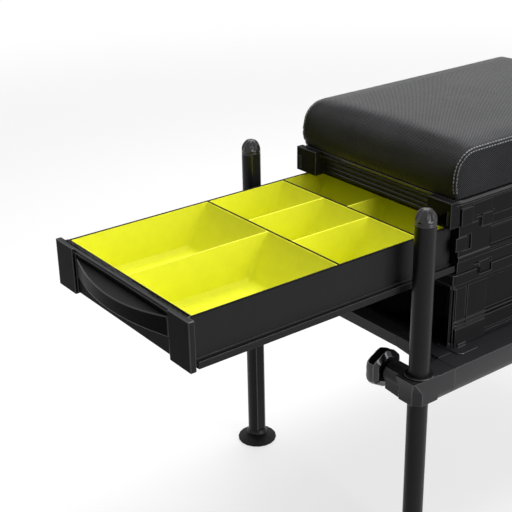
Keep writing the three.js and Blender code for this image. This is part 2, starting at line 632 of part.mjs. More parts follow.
// Corner bracket: leg housing, rail spigots, cross arm, gusset and the clamp lug
function makeCornerBrackets() {
  const sleeveTop = RAIL_TOP_HEIGHT + SLEEVE_ABOVE_RAIL;
  const sleeveBottom = sleeveTop - SLEEVE_LENGTH;
  const housing = solid(loftGeometry([
    housingRing(HOUSING_FRONT_REACH, HOUSING_CORNER_CUT, sleeveBottom),
    housingRing(HOUSING_FRONT_REACH, HOUSING_CORNER_CUT, sleeveTop - HOUSING_WAIST_DROP),
    housingRing(HOUSING_TOP_REACH, HOUSING_TOP_CORNER_CUT, sleeveTop),
  ]));
  const sideBlock = swept(sideRailOutline(0), 'y', -LEG_END_OFFSET, -RAIL_END - SEAT_GAP);
  const sideSpigot = swept(
    sideRailOutline(SIDE_RAIL_WALL + SPIGOT_GAP), 'y', -LEG_END_OFFSET, -RAIL_END + SPIGOT_LENGTH,
  );

  const armFrom = CROSS_RAIL_HALF_LENGTH + SEAT_GAP;
  const armTo = RAIL_INNER_SIDE - SEAT_GAP;
  const armRange = [-CROSS_RAIL_OUTER_END, -CROSS_RAIL_INNER_END];
  const arm = swept(polygon([
    [-armFrom, CROSS_RAIL_BOTTOM], [-armTo, CROSS_RAIL_BOTTOM - ARM_ROOT_DROP],
    [-armTo, RAIL_TOP_HEIGHT], [-armFrom, RAIL_TOP_HEIGHT],
  ]), 'y', ...armRange);
  const spigotInset = CROSS_RAIL_WALL + SPIGOT_GAP;
  const armSpigot = block(
    [CROSS_RAIL_HALF_LENGTH - SPIGOT_LENGTH, armFrom + spigotInset],
    [armRange[0] + spigotInset, armRange[1] - spigotInset],
    [CROSS_RAIL_BOTTOM + spigotInset, RAIL_TOP_HEIGHT - spigotInset],
  );
  const gusset = swept(polygon([
    [armTo - GUSSET_LENGTH, armRange[0] + GUSSET_INSET], [armTo - GUSSET_LENGTH, armRange[0]],
    [RAIL_INNER_SIDE + GUSSET_INSET, armRange[0] - GUSSET_REACH],
    [RAIL_INNER_SIDE + GUSSET_INSET, -RAIL_END - SEAT_GAP], [armTo, -RAIL_END - SEAT_GAP],
    [armTo, armRange[0] + GUSSET_INSET],
  ]), 'z', CROSS_RAIL_BOTTOM - ARM_ROOT_DROP, RAIL_TOP_HEIGHT - GUSSET_INSET);

  const lugEnd = RAIL_INNER_SIDE - LUG_LENGTH;
  const lug = swept(polygon([
    [-RAIL_INNER_SIDE - LUG_TOP_DROP, RAIL_BOTTOM_HEIGHT], [-lugEnd, RAIL_BOTTOM_HEIGHT + LUG_END_DROP],
    [-lugEnd, RAIL_TOP_HEIGHT - LUG_TOP_DROP], [-RAIL_INNER_SIDE - LUG_TOP_DROP, RAIL_TOP_HEIGHT - LUG_TOP_DROP],
  ]), 'y', -LEG_END_OFFSET - LUG_WIDTH / 2, -LEG_END_OFFSET + LUG_WIDTH / 2);
  const clampAxis = [0, -LEG_END_OFFSET, CLAMP_AXIS_HEIGHT];
  const boss = rod('x', BOSS_RADIUS, clampAxis, lugEnd - BOSS_LENGTH, RAIL_INNER_SIDE, TURN_STEPS);

  const boreGap = SLIDE_GAP + BUSH_WALL + SEAT_GAP;
  const legBore = swept(
    dOutline(LEG_RADIUS + boreGap, LEG_FLAT_OFFSET + boreGap), 'z',
    sleeveBottom - CUT_OVERRUN, sleeveTop + CUT_OVERRUN,
  );
  const bossEnd = lugEnd - BOSS_LENGTH;
  const studBore = rod('x', STUD_RADIUS + SLIDE_GAP, clampAxis, bossEnd - CUT_OVERRUN, LEG_SIDE_OFFSET);
  const bracket = cut(join([housing, sideBlock, sideSpigot, arm, armSpigot, gusset, lug, boss]), [legBore, studBore]);
  addAtCorners('corner_bracket', bracket, finishes.bracketMetal);

  const flangeBottom = sleeveTop + SEAT_GAP;
  const bushTop = flangeBottom + BUSH_FLANGE_THICKNESS;
  const bushOuter = swept(
    dOutline(LEG_RADIUS + SLIDE_GAP + BUSH_WALL, LEG_FLAT_OFFSET + SLIDE_GAP + BUSH_WALL),
    'z', sleeveBottom, bushTop,
  );
  const flange = rod('z', BUSH_FLANGE_RADIUS, legAxis, flangeBottom, bushTop, TURN_STEPS);
  const bushBore = swept(
    dOutline(LEG_RADIUS + SLIDE_GAP, LEG_FLAT_OFFSET + SLIDE_GAP),
    'z', sleeveBottom - CUT_OVERRUN, bushTop + CUT_OVERRUN,
  );
  addAtCorners('leg_bush', cut(join([bushOuter, flange]), [bushBore, studBore]), finishes.bushPlastic);
  makeClampKnobs(bossEnd);
}

function makeClampKnobs(bossEnd) {
  const hubTo = bossEnd - SWING_GAP;
  const knobTo = hubTo - KNOB_HUB_LENGTH;
  const knobFrom = knobTo - KNOB_THICKNESS;
  const rings = KNOB_FACE_RING_SHARES.map(([alongShare, radiusShare]) =>
    lobedRing(KNOB_RADIUS * radiusShare, KNOB_THICKNESS * alongShare, KNOB_LOBES, KNOB_LOBE_SHARE * 2, KNOB_STEPS));
  const place = (geometry) => geometry.rotateY(Math.PI / 2)
    .translate(knobFrom, -LEG_END_OFFSET, CLAMP_AXIS_HEIGHT);
  const clampAxis = [0, -LEG_END_OFFSET, CLAMP_AXIS_HEIGHT];
  const grip = solid(place(loftGeometry(rings)));
  const hub = rod('x', KNOB_HUB_RADIUS, clampAxis, knobTo - CUT_OVERRUN, hubTo);
  const studEnd = LEG_SIDE_OFFSET - LEG_FLAT_OFFSET - SLIDE_GAP;
  const stud = rod('x', STUD_RADIUS, clampAxis, hubTo - STUD_HOLD, studEnd);
  addAtCorners('clamp_knob', join([grip, hub, stud]), finishes.knobPlastic);
}

// Rounded plates on the rails that the deep unit stands on
function makeBasePlates() {
  const outer = UNIT_SIDE + BASE_PLATE_STICKS_OUT;
  const top = RAIL_TOP_HEIGHT + SEAT_GAP;
  const xs = [outer - BASE_PLATE_WIDTH, outer];
  const ys = [-UNIT_END, -UNIT_END + BASE_PLATE_LENGTH];
  const thickness = BASE_PLATE_THICKNESS - SEAT_GAP * 2;
  const plate = roundedSlab(xs, ys, BASE_PLATE_CORNER, top, top + thickness);
  const lipFrom = UNIT_SIDE + RIM_PROUD + SEAT_GAP;
  const middle = -UNIT_END + BASE_PLATE_LENGTH / 2;
  const lip = block(
    [lipFrom, lipFrom + BASE_PLATE_LIP_THICKNESS],
    [middle - BASE_PLATE_LIP_LENGTH / 2, middle + BASE_PLATE_LIP_LENGTH / 2],
    [top, top + BASE_PLATE_LIP_HEIGHT],
  );
  addAtCorners('base_plate', join([plate, lip]), finishes.bracketMetal);
}

// Pillars at the four corners of a unit's long sides, with a groove in each
function sidePillars(from, to) {
  const first = block([INNER_SIDE, UNIT_SIDE], [-UNIT_END + UNIT_CORNER_RADIUS, -UNIT_END + PILLAR_WIDTH], [from, to]);
  const secondFrom = -UNIT_END + PILLAR_WIDTH + PILLAR_GROOVE;
  const second = block([INNER_SIDE, UNIT_SIDE], [secondFrom, secondFrom + SECOND_PILLAR_WIDTH], [from, to]);
  const floor = block(
    [INNER_SIDE, UNIT_SIDE - PILLAR_GROOVE_DEPTH], [-UNIT_END + UNIT_CORNER_RADIUS, secondFrom + PILLAR_GROOVE], [from, to],
  );
  return [first, second, floor].flatMap(atCorners);
}

// The pocket that a catch lies in, cut from both units at a seam
function catchPocket(seam) {
  const yFrom = -UNIT_END + CATCH_FROM_END;
  const yTo = yFrom + CATCH_LENGTH;
  const reach = UNIT_SIDE + RIM_PROUD + CUT_OVERRUN;
  const floor = UNIT_SIDE - CATCH_POCKET_FLOOR;
  const bottom = seam - CATCH_BELOW_SEAM;
  const main = block(
    [floor, reach], [yFrom - SWING_GAP, yTo + SWING_GAP],
    [bottom - SWING_GAP, seam + CATCH_ABOVE_SEAM + SWING_GAP],
  );
  const lipSlot = block(
    [floor - CATCH_LIP_REACH, reach], [yFrom - SWING_GAP, yTo + SWING_GAP],
    [bottom - SWING_GAP, bottom + CATCH_LIP_HEIGHT + SEAT_GAP],
  );
  const pivotX = floor + CATCH_THICKNESS / 2 + SEAT_GAP;
  const pivotZ = seam + CATCH_ABOVE_SEAM - CATCH_PIVOT_DROP;
  const pivot = rod(
    'y', CATCH_PIVOT_RADIUS + SLIDE_GAP, [pivotX, 0, pivotZ],
    yFrom - CATCH_PIVOT_LENGTH - SEAT_GAP, yTo + CATCH_PIVOT_LENGTH + SEAT_GAP, PIVOT_STEPS,
  );
  const notch = block(
    [floor, reach], [yFrom - CATCH_NOTCH_LENGTH, yFrom],
    [seam + CATCH_ABOVE_SEAM - CATCH_NOTCH_HEIGHT, seam + CATCH_ABOVE_SEAM + SWING_GAP],
  );
  return [main, lipSlot, pivot, notch].flatMap(atCorners);
}

function makeCatches(name, seam) {
  const yFrom = -UNIT_END + CATCH_FROM_END;
  const yTo = yFrom + CATCH_LENGTH;
  const inner = UNIT_SIDE - CATCH_POCKET_FLOOR + SEAT_GAP;
  const bottom = seam - CATCH_BELOW_SEAM;
  const plate = block([inner, inner + CATCH_THICKNESS], [yFrom, yTo], [bottom, seam + CATCH_ABOVE_SEAM - CATCH_PIVOT_DROP]);
  const lip = block(
    [inner - CATCH_LIP_REACH, inner + CATCH_THICKNESS], [yFrom, yTo], [bottom, bottom + CATCH_LIP_HEIGHT],
  );
  const pivotX = inner + CATCH_THICKNESS / 2;
  const pivotZ = seam + CATCH_ABOVE_SEAM - CATCH_PIVOT_DROP;
  const barrel = rod('y', CATCH_THICKNESS / 2, [pivotX, 0, pivotZ], yFrom, yTo, PIVOT_STEPS);
  const pins = rod(
    'y', CATCH_PIVOT_RADIUS, [pivotX, 0, pivotZ], yFrom - CATCH_PIVOT_LENGTH, yTo + CATCH_PIVOT_LENGTH,
    PIVOT_STEPS,
  );
  addAtCorners(name, join([plate, lip, barrel, pins]), finishes.casing);
}

// Two narrow slits side by side near each upright edge of the end faces
function cornerSlits(face, from, to) {
  const starts = [0, CORNER_SLIT_PITCH].map((shift) => UNIT_SIDE - CORNER_SLIT_INSET - CORNER_SLIT_WIDTH - shift);
  return starts.flatMap((start) => atCorners(block(
    [start, start + CORNER_SLIT_WIDTH], [-face - CUT_OVERRUN, -face + CORNER_SLIT_DEPTH], [from, to],
  )));
}

function makeDeepUnit() {
  const [z0, z1] = [DEEP_BOTTOM, DEEP_TOP];
  const rimBottom = z1 - DEEP_RIM_HEIGHT;
  const skirtTop = z0 + DEEP_SKIRT_HEIGHT;
  const pads = [
    block([UNIT_SIDE - END_PAD_WIDTH, UNIT_SIDE - UNIT_CORNER_RADIUS / 2], [-UNIT_END, -INNER_END], [z0, rimBottom]),
    block([INNER_SIDE, UNIT_SIDE], [-UNIT_END + UNIT_CORNER_RADIUS / 2, -INNER_END], [z0, rimBottom]),
  ].flatMap(atCorners);
  const ridges = [skirtTop, skirtTop + RIB_HEIGHT + DEEP_RIDGE_GAP].map((level) =>
    centredSlab(UNIT_SIDE + RIM_PROUD, UNIT_END - PANEL_RECESS, UNIT_CORNER_RADIUS, level, level + RIB_HEIGHT));
  const footBlocks = atCorners(block(
    [INNER_SIDE, UNIT_SIDE + DEEP_BLOCK_PROUD], [-UNIT_END + UNIT_CORNER_RADIUS, -UNIT_END + PILLAR_ZONE],
    [z0, skirtTop - DEEP_BLOCK_GAP],
  ));
  const shell = join([
    centredSlab(PANEL_SIDE, UNIT_END - FRONT_RECESS, UNIT_CORNER_RADIUS, z0, z1),
    centredSlab(UNIT_SIDE + RIM_PROUD, UNIT_END + RIM_PROUD, UNIT_CORNER_RADIUS, rimBottom, z1),
    centredSlab(UNIT_SIDE + RIM_PROUD / 2, UNIT_END, UNIT_CORNER_RADIUS, rimBottom - DEEP_RIM_LEDGE_HEIGHT, rimBottom),
    centredSlab(UNIT_SIDE, UNIT_END, UNIT_CORNER_RADIUS, z0, z0 + DEEP_FOOT_HEIGHT),
    ...ridges, ...pads, ...footBlocks, ...sidePillars(z0, rimBottom),
  ]);
  const cavity = block([-INNER_SIDE, INNER_SIDE], [-INNER_END + FRONT_RECESS, INNER_END - FRONT_RECESS],
    [z0 + UNIT_FLOOR, z1 + CUT_OVERRUN]);
  const slot = [1, -1].map((end) => solid(mirrored(boxGeometry(
    [-DEEP_SLOT_WIDTH / 2, DEEP_SLOT_WIDTH / 2],
    [-UNIT_END - CUT_OVERRUN, -UNIT_END + FRONT_RECESS + DEEP_SLOT_DEPTH],
    [skirtTop + RIB_HEIGHT * 2 + DEEP_RIDGE_GAP, skirtTop + RIB_HEIGHT * 2 + DEEP_RIDGE_GAP + DEEP_SLOT_HEIGHT],
  ), { x: 1, y: end })));
  const slits = cornerSlits(UNIT_END, z0 + DEEP_FOOT_HEIGHT, rimBottom - DEEP_RIM_LEDGE_HEIGHT);
  addSolid('deep_unit', cut(shell, [cavity, ...slot, ...slits, ...catchPocket(DEEP_TOP)]), finishes.casing());
}

function makeDrawerUnit() {
  const [z0, z1] = [DEEP_TOP + SEAT_GAP, DRAWER_UNIT_TOP];
  const front = DRAWER_MOUTH;
  const core = block([-PANEL_SIDE, PANEL_SIDE], [front, UNIT_END], [z0, z1]);
  const posts = [1, -1].map((side) => solid(mirrored(boxGeometry(
    [INNER_SIDE - DRAWER_UNIT_POST_WIDTH, UNIT_SIDE], [front, front + DRAWER_UNIT_POST_DEPTH], [z0, z1],
  ), { x: side, y: 1 })));
  const pillarTop = z1 - EAR_DROP;
  const pillarBottom = z1 - EAR_DROP - EAR_HEIGHT;
  const earFrom = FRONT_HALF_WIDTH + SWING_GAP;
  const ears = atCorners(block(
    [earFrom, earFrom + EAR_THICKNESS], [-UNIT_END, -UNIT_END + EAR_LENGTH], [pillarBottom, pillarTop],
  ));
  const zone = [-UNIT_END + FRONT_RECESS, -UNIT_END + PILLAR_ZONE];
  const upperBand = atCorners(block([INNER_SIDE, UNIT_SIDE], zone, [pillarTop, z1]));
  const secondFrom = -UNIT_END + PILLAR_WIDTH + PILLAR_GROOVE;
  const second = atCorners(block([INNER_SIDE, UNIT_SIDE], [secondFrom, zone[1]], [z0, z1]));
  const ledgeTop = z1 - LEDGE_DROP;
  const ledges = [0, 1].flatMap((step) => atCorners(block(
    [INNER_SIDE, UNIT_SIDE + LEDGE_STEP * step], zone,
    [ledgeTop - LEDGE_STEP_HEIGHT * (step + 1), ledgeTop - LEDGE_STEP_HEIGHT * step],
  )));
  const lowerBand = block([-UNIT_SIDE, UNIT_SIDE], [zone[0], -zone[0]], [z0, ledgeTop - LEDGE_STEP_HEIGHT * 2]);
  const ribs = SIDE_RIB_DROPS.map((drop) =>
    block([-UNIT_SIDE, UNIT_SIDE], [zone[1], -zone[1]], [z1 - drop, z1 - drop + RIB_HEIGHT]));
  const cavity = block([-INNER_SIDE, INNER_SIDE], [front + DRAWER_UNIT_POST_DEPTH, INNER_END],
    [z0 + UNIT_FLOOR, z1 + CUT_OVERRUN]);
  const mouthSide = INNER_SIDE - UNIT_WALL;
  const mouth = block([-mouthSide, mouthSide], [front - CUT_OVERRUN, front + DRAWER_UNIT_POST_DEPTH + CUT_OVERRUN],
    [z0 + UNIT_FLOOR, z1 + CUT_OVERRUN]);
  const runnerWay = block(
    [-RUNNER_WAY_SIDE, RUNNER_WAY_SIDE], [front - CUT_OVERRUN, INNER_END],
    [z0 + UNIT_FLOOR, CHANNEL_TOP + SWING_GAP],
  );
  const tongueMiddle = DRAWER_HALF_WIDTH + SEAT_GAP + CHANNEL_WIDTH / 2;
  const tongueRange = [DRAWER_MOUTH + TONGUE_END_GAP, INNER_END + TONGUE_END_GAP / 2];
  const webRange = [CHANNEL_TOP + SWING_GAP, CHANNEL_TOP + SWING_GAP + TONGUE_WEB_THICKNESS];
  const tongues = atSides(join([
    block([tongueMiddle - TONGUE_THICKNESS / 2, INNER_SIDE + RUNNER_WAY_WALL / 2], tongueRange, webRange),
    block(
      [tongueMiddle - TONGUE_THICKNESS / 2, tongueMiddle + TONGUE_THICKNESS / 2], tongueRange,
      [DRAWER_BOTTOM + CHANNEL_WALL + SLIDE_GAP, webRange[1]],
    ),
  ]));
  const shell = join([core, lowerBand, ...posts, ...ears, ...upperBand, ...second, ...ledges, ...ribs]);
  const hollowed = cut(shell, [cavity, mouth, runnerWay]);
  addSolid('drawer_unit', cut(join([hollowed, ...tongues]), [
    ...catchPocket(DEEP_TOP), ...catchPocket(DRAWER_UNIT_TOP),
  ]), finishes.casing());
}

function makeTrayUnit() {
  const [z0, z1] = [DRAWER_UNIT_TOP + SEAT_GAP, TRAY_TOP];
  const flangeBottom = z1 - TRAY_FLANGE_HEIGHT;
  const centreEnd = UNIT_END - PANEL_RECESS;
  const padFace = UNIT_END + TRAY_PAD_PROUD;
  const padSide = [UNIT_SIDE - END_PAD_WIDTH, UNIT_SIDE];
  const pads = atCorners(join([
    block(padSide, [-padFace, -INNER_END], [z0, z1]),
    block(padSide, [-padFace, -UNIT_END - SWING_GAP], [flangeBottom, LID_TOP]),
  ]));
  const ribPitch = (flangeBottom - z0) / (TRAY_RIB_COUNT + 1);
  const ribSide = UNIT_SIDE - END_PAD_WIDTH - TRAY_PAD_MARGIN;
  const ribs = Array.from({ length: TRAY_RIB_COUNT }, (_, i) => z0 + ribPitch * (i + 1)).map((level) => block(
    [-ribSide, ribSide], [-centreEnd - TRAY_RIB_PROUD, centreEnd + TRAY_RIB_PROUD],
    [level - RIB_HEIGHT / 2, level + RIB_HEIGHT / 2],
  ));
  const blocks = atCorners(block(
    [INNER_SIDE, UNIT_SIDE + TRAY_BLOCK_THICKNESS],
    [-UNIT_END + UNIT_CORNER_RADIUS, -UNIT_END + UNIT_CORNER_RADIUS + TRAY_BLOCK_LENGTH],
    [z0, flangeBottom - TRAY_PAD_MARGIN],
  ));
  const shell = join([
    centredSlab(PANEL_SIDE + PANEL_RECESS / 2, centreEnd, UNIT_CORNER_RADIUS, z0, z1),
    centredSlab(UNIT_SIDE + TRAY_FLANGE_PROUD, UNIT_END + TRAY_FLANGE_PROUD, LID_CORNER_RADIUS, flangeBottom, z1),
    ...pads, ...ribs, ...blocks, ...sidePillars(z0, flangeBottom),
  ]);
  const cavity = block([-INNER_SIDE, INNER_SIDE], [-INNER_END, INNER_END], [z0 + UNIT_FLOOR, z1 + CUT_OVERRUN]);
  const slits = cornerSlits(padFace, z0 + TRAY_PAD_MARGIN * 2, flangeBottom - TRAY_PAD_MARGIN * 2);
  addSolid('tray_unit', cut(shell, [cavity, ...slits, ...catchPocket(DRAWER_UNIT_TOP)]), finishes.casing());
}

// Catches: upper ones hold the tray unit, lower ones the drawer unit
function makeAllCatches() {
  makeCatches('upper_catch', DRAWER_UNIT_TOP);
  makeCatches('lower_catch', DEEP_TOP);
}

function makeRunners() {
  const inner = DRAWER_HALF_WIDTH + SEAT_GAP;
  const outer = inner + CHANNEL_WIDTH;
  const channel = cut(
    block([inner, outer], [DRAWER_FRONT_END, DRAWER_REAR_END], [DRAWER_BOTTOM, CHANNEL_TOP]),
    [block([inner + CHANNEL_WALL, outer - CHANNEL_WALL],
      [DRAWER_FRONT_END - CUT_OVERRUN, DRAWER_REAR_END + CUT_OVERRUN],
      [DRAWER_BOTTOM + CHANNEL_WALL, CHANNEL_TOP + CUT_OVERRUN])],
  );
  SIDES.forEach((side) =>
    addPiece(`drawer_channel_${side.name}`, mirrored(toGeometry(channel), side), finishes.drawerPlastic()));
}

// Drawer shell, with a rib across it between each two inserts
function makeDrawerBody() {
  const side = DRAWER_HALF_WIDTH;
  const range = [DRAWER_FRONT_END, DRAWER_REAR_END];
  const tub = cut(block([-side, side], range, [DRAWER_BOTTOM, DRAWER_RIM]), [block(
    [-side + DRAWER_WALL, side - DRAWER_WALL],
    [range[0] + DRAWER_WALL, range[1] - DRAWER_WALL],
    [DRAWER_BOTTOM + DRAWER_WALL, DRAWER_RIM + CUT_OVERRUN],
  )]);
  const ribs = DRAWER_RIB_SHARES.map((share) => range[0] + DRAWER_LENGTH * share).map((middle) => block(
    [-side + DRAWER_WALL / 2, side - DRAWER_WALL / 2],
    [middle - DRAWER_RIB_THICKNESS / 2, middle + DRAWER_RIB_THICKNESS / 2],
    [DRAWER_BOTTOM + DRAWER_WALL / 2, DRAWER_RIM - INSERT_RIM_THICKNESS],
  ));
  addSolid('drawer_body', join([tub, ...ribs]), finishes.drawerPlastic());
}

function makeDrawerFront() {
  const back = DRAWER_FRONT_END - SEAT_GAP;
  const padFrom = FRONT_HALF_WIDTH - END_PAD_WIDTH;
  const centre = block([-padFrom, padFrom], [CENTRE_FACE, back], [FRONT_BOTTOM + FRONT_CENTRE_RAISE, FRONT_TOP]);
  const pads = [1, -1].map((side) => solid(mirrored(
    boxGeometry([padFrom, FRONT_HALF_WIDTH], [FRONT_FACE, back], [FRONT_BOTTOM, FRONT_TOP]), { x: side, y: 1 },
  )));
  const lips = [0, 1].map((step) => {
    const top = FRONT_TOP - step * (FRONT_LIP_HEIGHT + FRONT_LIP_GAP);
    return block([-padFrom, padFrom], [CENTRE_FACE - FRONT_LIP_PROUD, back], [top - FRONT_LIP_HEIGHT, top]);
  });
  const groove = block(
    [-DRAWER_HALF_WIDTH + DRAWER_WALL, DRAWER_HALF_WIDTH - DRAWER_WALL],
    [back - FRONT_BACK_WALL - FRONT_GROOVE_WIDTH, back - FRONT_BACK_WALL],
    [FRONT_TOP - FRONT_GROOVE_DEPTH, FRONT_TOP + CUT_OVERRUN],
  );
  const overhangs = atSides(block(
    [DRAWER_HALF_WIDTH, FRONT_HALF_WIDTH + CUT_OVERRUN],
    [FRONT_FACE + FRONT_OVERHANG_THICKNESS, back + CUT_OVERRUN],
    [FRONT_BOTTOM - CUT_OVERRUN, FRONT_TOP + CUT_OVERRUN],
  ));
  const panel = cut(join([centre, ...pads, ...lips]), [groove, ...overhangs]);
  addSolid('drawer_front', panel, finishes.drawerPlastic());
}

// Plan of the handle: square ends, then a bow across the middle
function handlePlan(wall, endCut) {
  const half = HANDLE_HALF_WIDTH - endCut;
  const base = CENTRE_FACE - SEAT_GAP;
  const endReach = HANDLE_END_REACH - wall;
  const bowFrom = half - HANDLE_END_LENGTH;
  const points = [[half, base + (endCut ? CUT_OVERRUN : 0)], [half, base - HANDLE_END_EDGE]];
  for (let i = 0; i <= HANDLE_BOW_STEPS; i += 1) {
    const x = bowFrom * (1 - (2 * i) / HANDLE_BOW_STEPS);
    const bow = 1 - (x / bowFrom) ** 2;
    points.push([x, base - endReach - (HANDLE_REACH - HANDLE_END_REACH) * bow]);
  }
  points.push([-half, base - HANDLE_END_EDGE], [-half, base + (endCut ? CUT_OVERRUN : 0)]);
  return polygon(points);
}

function makeDrawerHandle() {
  const top = DRAWER_RIM - HANDLE_TOP_DROP;
  const bottom = top - HANDLE_HEIGHT;
  const base = CENTRE_FACE - SEAT_GAP;
  const slopedTop = (drop) => swept(polygon([
    [base + CUT_OVERRUN, bottom - CUT_OVERRUN], [base + CUT_OVERRUN, top - drop],
    [base, top - drop], [base - HANDLE_REACH, top - HANDLE_FRONT_DROP - drop],
    [base - HANDLE_REACH, bottom - CUT_OVERRUN],
  ]), 'x', -HANDLE_HALF_WIDTH, HANDLE_HALF_WIDTH);
  const body = swept(handlePlan(0, 0), 'z', bottom, top).intersect(slopedTop(0));
  const cavity = swept(handlePlan(HANDLE_WALL, HANDLE_CAVITY_END), 'z', bottom - CUT_OVERRUN, top)
    .intersect(slopedTop(HANDLE_WALL));
  addSolid('drawer_handle', cut(body, [cavity]), finishes.drawerPlastic());
}

// One tub of an insert: rings of a rounded rectangle that narrows to its floor
function tubGeometry([x0, x1], [y0, y1], top, floor, { side, near, far }, round) {
  const levels = [
    { z: top, share: 0, corner: INSERT_RIM_CORNER, pull: 0 },
    { z: floor + round, share: 1 - round / (top - floor), corner: INSERT_FLOOR_CORNER, pull: 0 },
    { z: floor, share: 1, corner: INSERT_FLOOR_CORNER, pull: round },
  ];
  return loftGeometry(levels.map(({ z, share, corner, pull }) => {
    const inset = [side, near, far].map((slope) => slope * share + pull);
    const outline = roundedRectangle([x0 + inset[0], x1 - inset[0]], [y0 + inset[1], y1 - inset[2]], corner);
    return outline.getPoints(CORNER_STEPS).slice(0, -1).map((point) => new THREE.Vector3(point.x, point.y, z));
  }));
}

function makeInsert(name, [yFrom, yTo], cells, slopeShare) {
  const side = DRAWER_HALF_WIDTH - DRAWER_WALL - SEAT_GAP;
  const ys = [yFrom + SEAT_GAP, yTo - SEAT_GAP];
  const top = DRAWER_RIM;
  const floor = DRAWER_BOTTOM + DRAWER_WALL + SEAT_GAP;
  const cellWidth = (2 * side) / cells;
  const depth = top - floor;
  const slopes = { side: INSERT_SIDE_DRAFT, near: INSERT_NEAR_DRAFT, far: depth * slopeShare };
  const ranges = Array.from({ length: cells }, (_, i) => [-side + cellWidth * i, -side + cellWidth * (i + 1)]);
  const outer = ranges.map((xs) => solid(tubGeometry(xs, ys, top, floor, slopes, INSERT_FLOOR_ROUND)));
  const rim = block([-side, side], ys, [top - INSERT_RIM_THICKNESS, top]);
  const rise = INSERT_RIM_THICKNESS;
  const inner = ranges.map(([x0, x1]) => {
    const low = floor + INSERT_WALL;
    const grow = 1 + rise / (top - low);
    const steeper = { side: slopes.side * grow, near: slopes.near * grow, far: slopes.far * grow };
    return solid(tubGeometry(
      [x0 + INSERT_WALL + slopes.side - steeper.side, x1 - INSERT_WALL - slopes.side + steeper.side],
      [ys[0] + INSERT_WALL + slopes.near - steeper.near, ys[1] - INSERT_WALL - slopes.far + steeper.far],
      top + rise, low, steeper, INSERT_FLOOR_ROUND,
    ));
  });
  addSolid(name, cut(join([...outer, rim]), inner), finishes.insertLime());
}

function makeInserts() {
  const start = DRAWER_FRONT_END + DRAWER_WALL;
  const ribs = DRAWER_RIB_SHARES.map((share) => DRAWER_FRONT_END + DRAWER_LENGTH * share);
  const half = DRAWER_RIB_THICKNESS / 2;
  makeInsert('insert_front', [start, ribs[0] - half], 2, INSERT_END_SLOPE_SHARE);
  makeInsert('insert_middle', [ribs[0] + half, ribs[1] - half], 3, INSERT_SHORT_SLOPE_SHARE);
  makeInsert('insert_rear', [ribs[1] + half, DRAWER_REAR_END - DRAWER_WALL], 2, INSERT_SHORT_SLOPE_SHARE);
}

function makeLid() {
  const [z0, z1] = [TRAY_TOP + SEAT_GAP, LID_TOP];
  const plate = centredSlab(UNIT_SIDE, UNIT_END, LID_CORNER_RADIUS, z0, z1, CORNER_STEPS);
  const recess = centredSlab(
    INNER_SIDE - LID_RECESS_MARGIN, INNER_END - LID_RECESS_MARGIN, LID_CORNER_RADIUS,
    z0 - CUT_OVERRUN, z0 + LID_RECESS_DEPTH,
  );
  addSolid('lid_plate', cut(plate, [recess]), finishes.casing());
}

// Long hinge on the -X side: knuckles on the box and on the lid take turns along one pin
function makeHinge() {
  const pinX = -UNIT_SIDE - HINGE_PIN_OFFSET;
  const pinZ = TRAY_TOP + LID_PLATE_THICKNESS / 2;
  const half = UNIT_END - HINGE_END_MARGIN;
  const pitch = (2 * half) / HINGE_KNUCKLES;
  const gap = HINGE_KNUCKLE_GAP / 2;
  const ranges = Array.from({ length: HINGE_KNUCKLES }, (_, i) =>
    [-half + pitch * i + gap, -half + pitch * (i + 1) - gap]);
  const boxRanges = ranges.filter((_, i) => i % 2 === 0);
  const lidRanges = ranges.filter((_, i) => i % 2 === 1);
  const knuckle = (range) => rod('y', HINGE_KNUCKLE_RADIUS, [pinX, 0, pinZ], ...range);
  const bore = rod('y', HINGE_PIN_RADIUS + SLIDE_GAP, [pinX, 0, pinZ], -half - CUT_OVERRUN, half + CUT_OVERRUN);

  const boxSide = -UNIT_SIDE - TRAY_FLANGE_PROUD - SEAT_GAP;
  const leafTop = TRAY_TOP - SEAT_GAP;
  const outerSide = pinX - HINGE_KNUCKLE_RADIUS;
  const boxLeaf = join([
    block([boxSide - HINGE_LEAF_THICKNESS, boxSide], [-half, half], [leafTop - HINGE_LEAF_HEIGHT, leafTop]),
    ...boxRanges.flatMap((range) => [
      knuckle(range),
      block([outerSide, boxSide], range, [leafTop - HINGE_KNUCKLE_RADIUS, leafTop]),
      block([outerSide, pinX], range, [leafTop - HINGE_KNUCKLE_RADIUS, pinZ]),
    ]),
  ]);
  addSolid('hinge_box_leaf', cut(boxLeaf, [bore]), finishes.steel());

  const lidSide = -UNIT_SIDE - SEAT_GAP;
  const web = [pinZ - HINGE_LEAF_THICKNESS / 2, pinZ + HINGE_LEAF_THICKNESS / 2];
  const lidLeaf = join([
    block([lidSide - HINGE_LEAF_THICKNESS, lidSide], [-half, half], [TRAY_TOP + SWING_GAP, LID_TOP - SEAT_GAP]),
    ...lidRanges.flatMap((range) => [knuckle(range), block([pinX, lidSide], range, web)]),
  ]);
  addSolid('hinge_lid_leaf', cut(lidLeaf, [bore]), finishes.steel());

  const head = (range) => rod('y', HINGE_PIN_RADIUS + HINGE_PIN_HEAD, [pinX, 0, pinZ], ...range);
  const headEnd = half + SEAT_GAP + HINGE_PIN_HEAD * 2;
  const pin = join([
    rod('y', HINGE_PIN_RADIUS, [pinX, 0, pinZ], -headEnd + HINGE_PIN_HEAD, headEnd - HINGE_PIN_HEAD),
    head([-headEnd, -half - SEAT_GAP]), head([half + SEAT_GAP, headEnd]),
  ]);
  addSolid('hinge_pin', pin, finishes.steel());
}

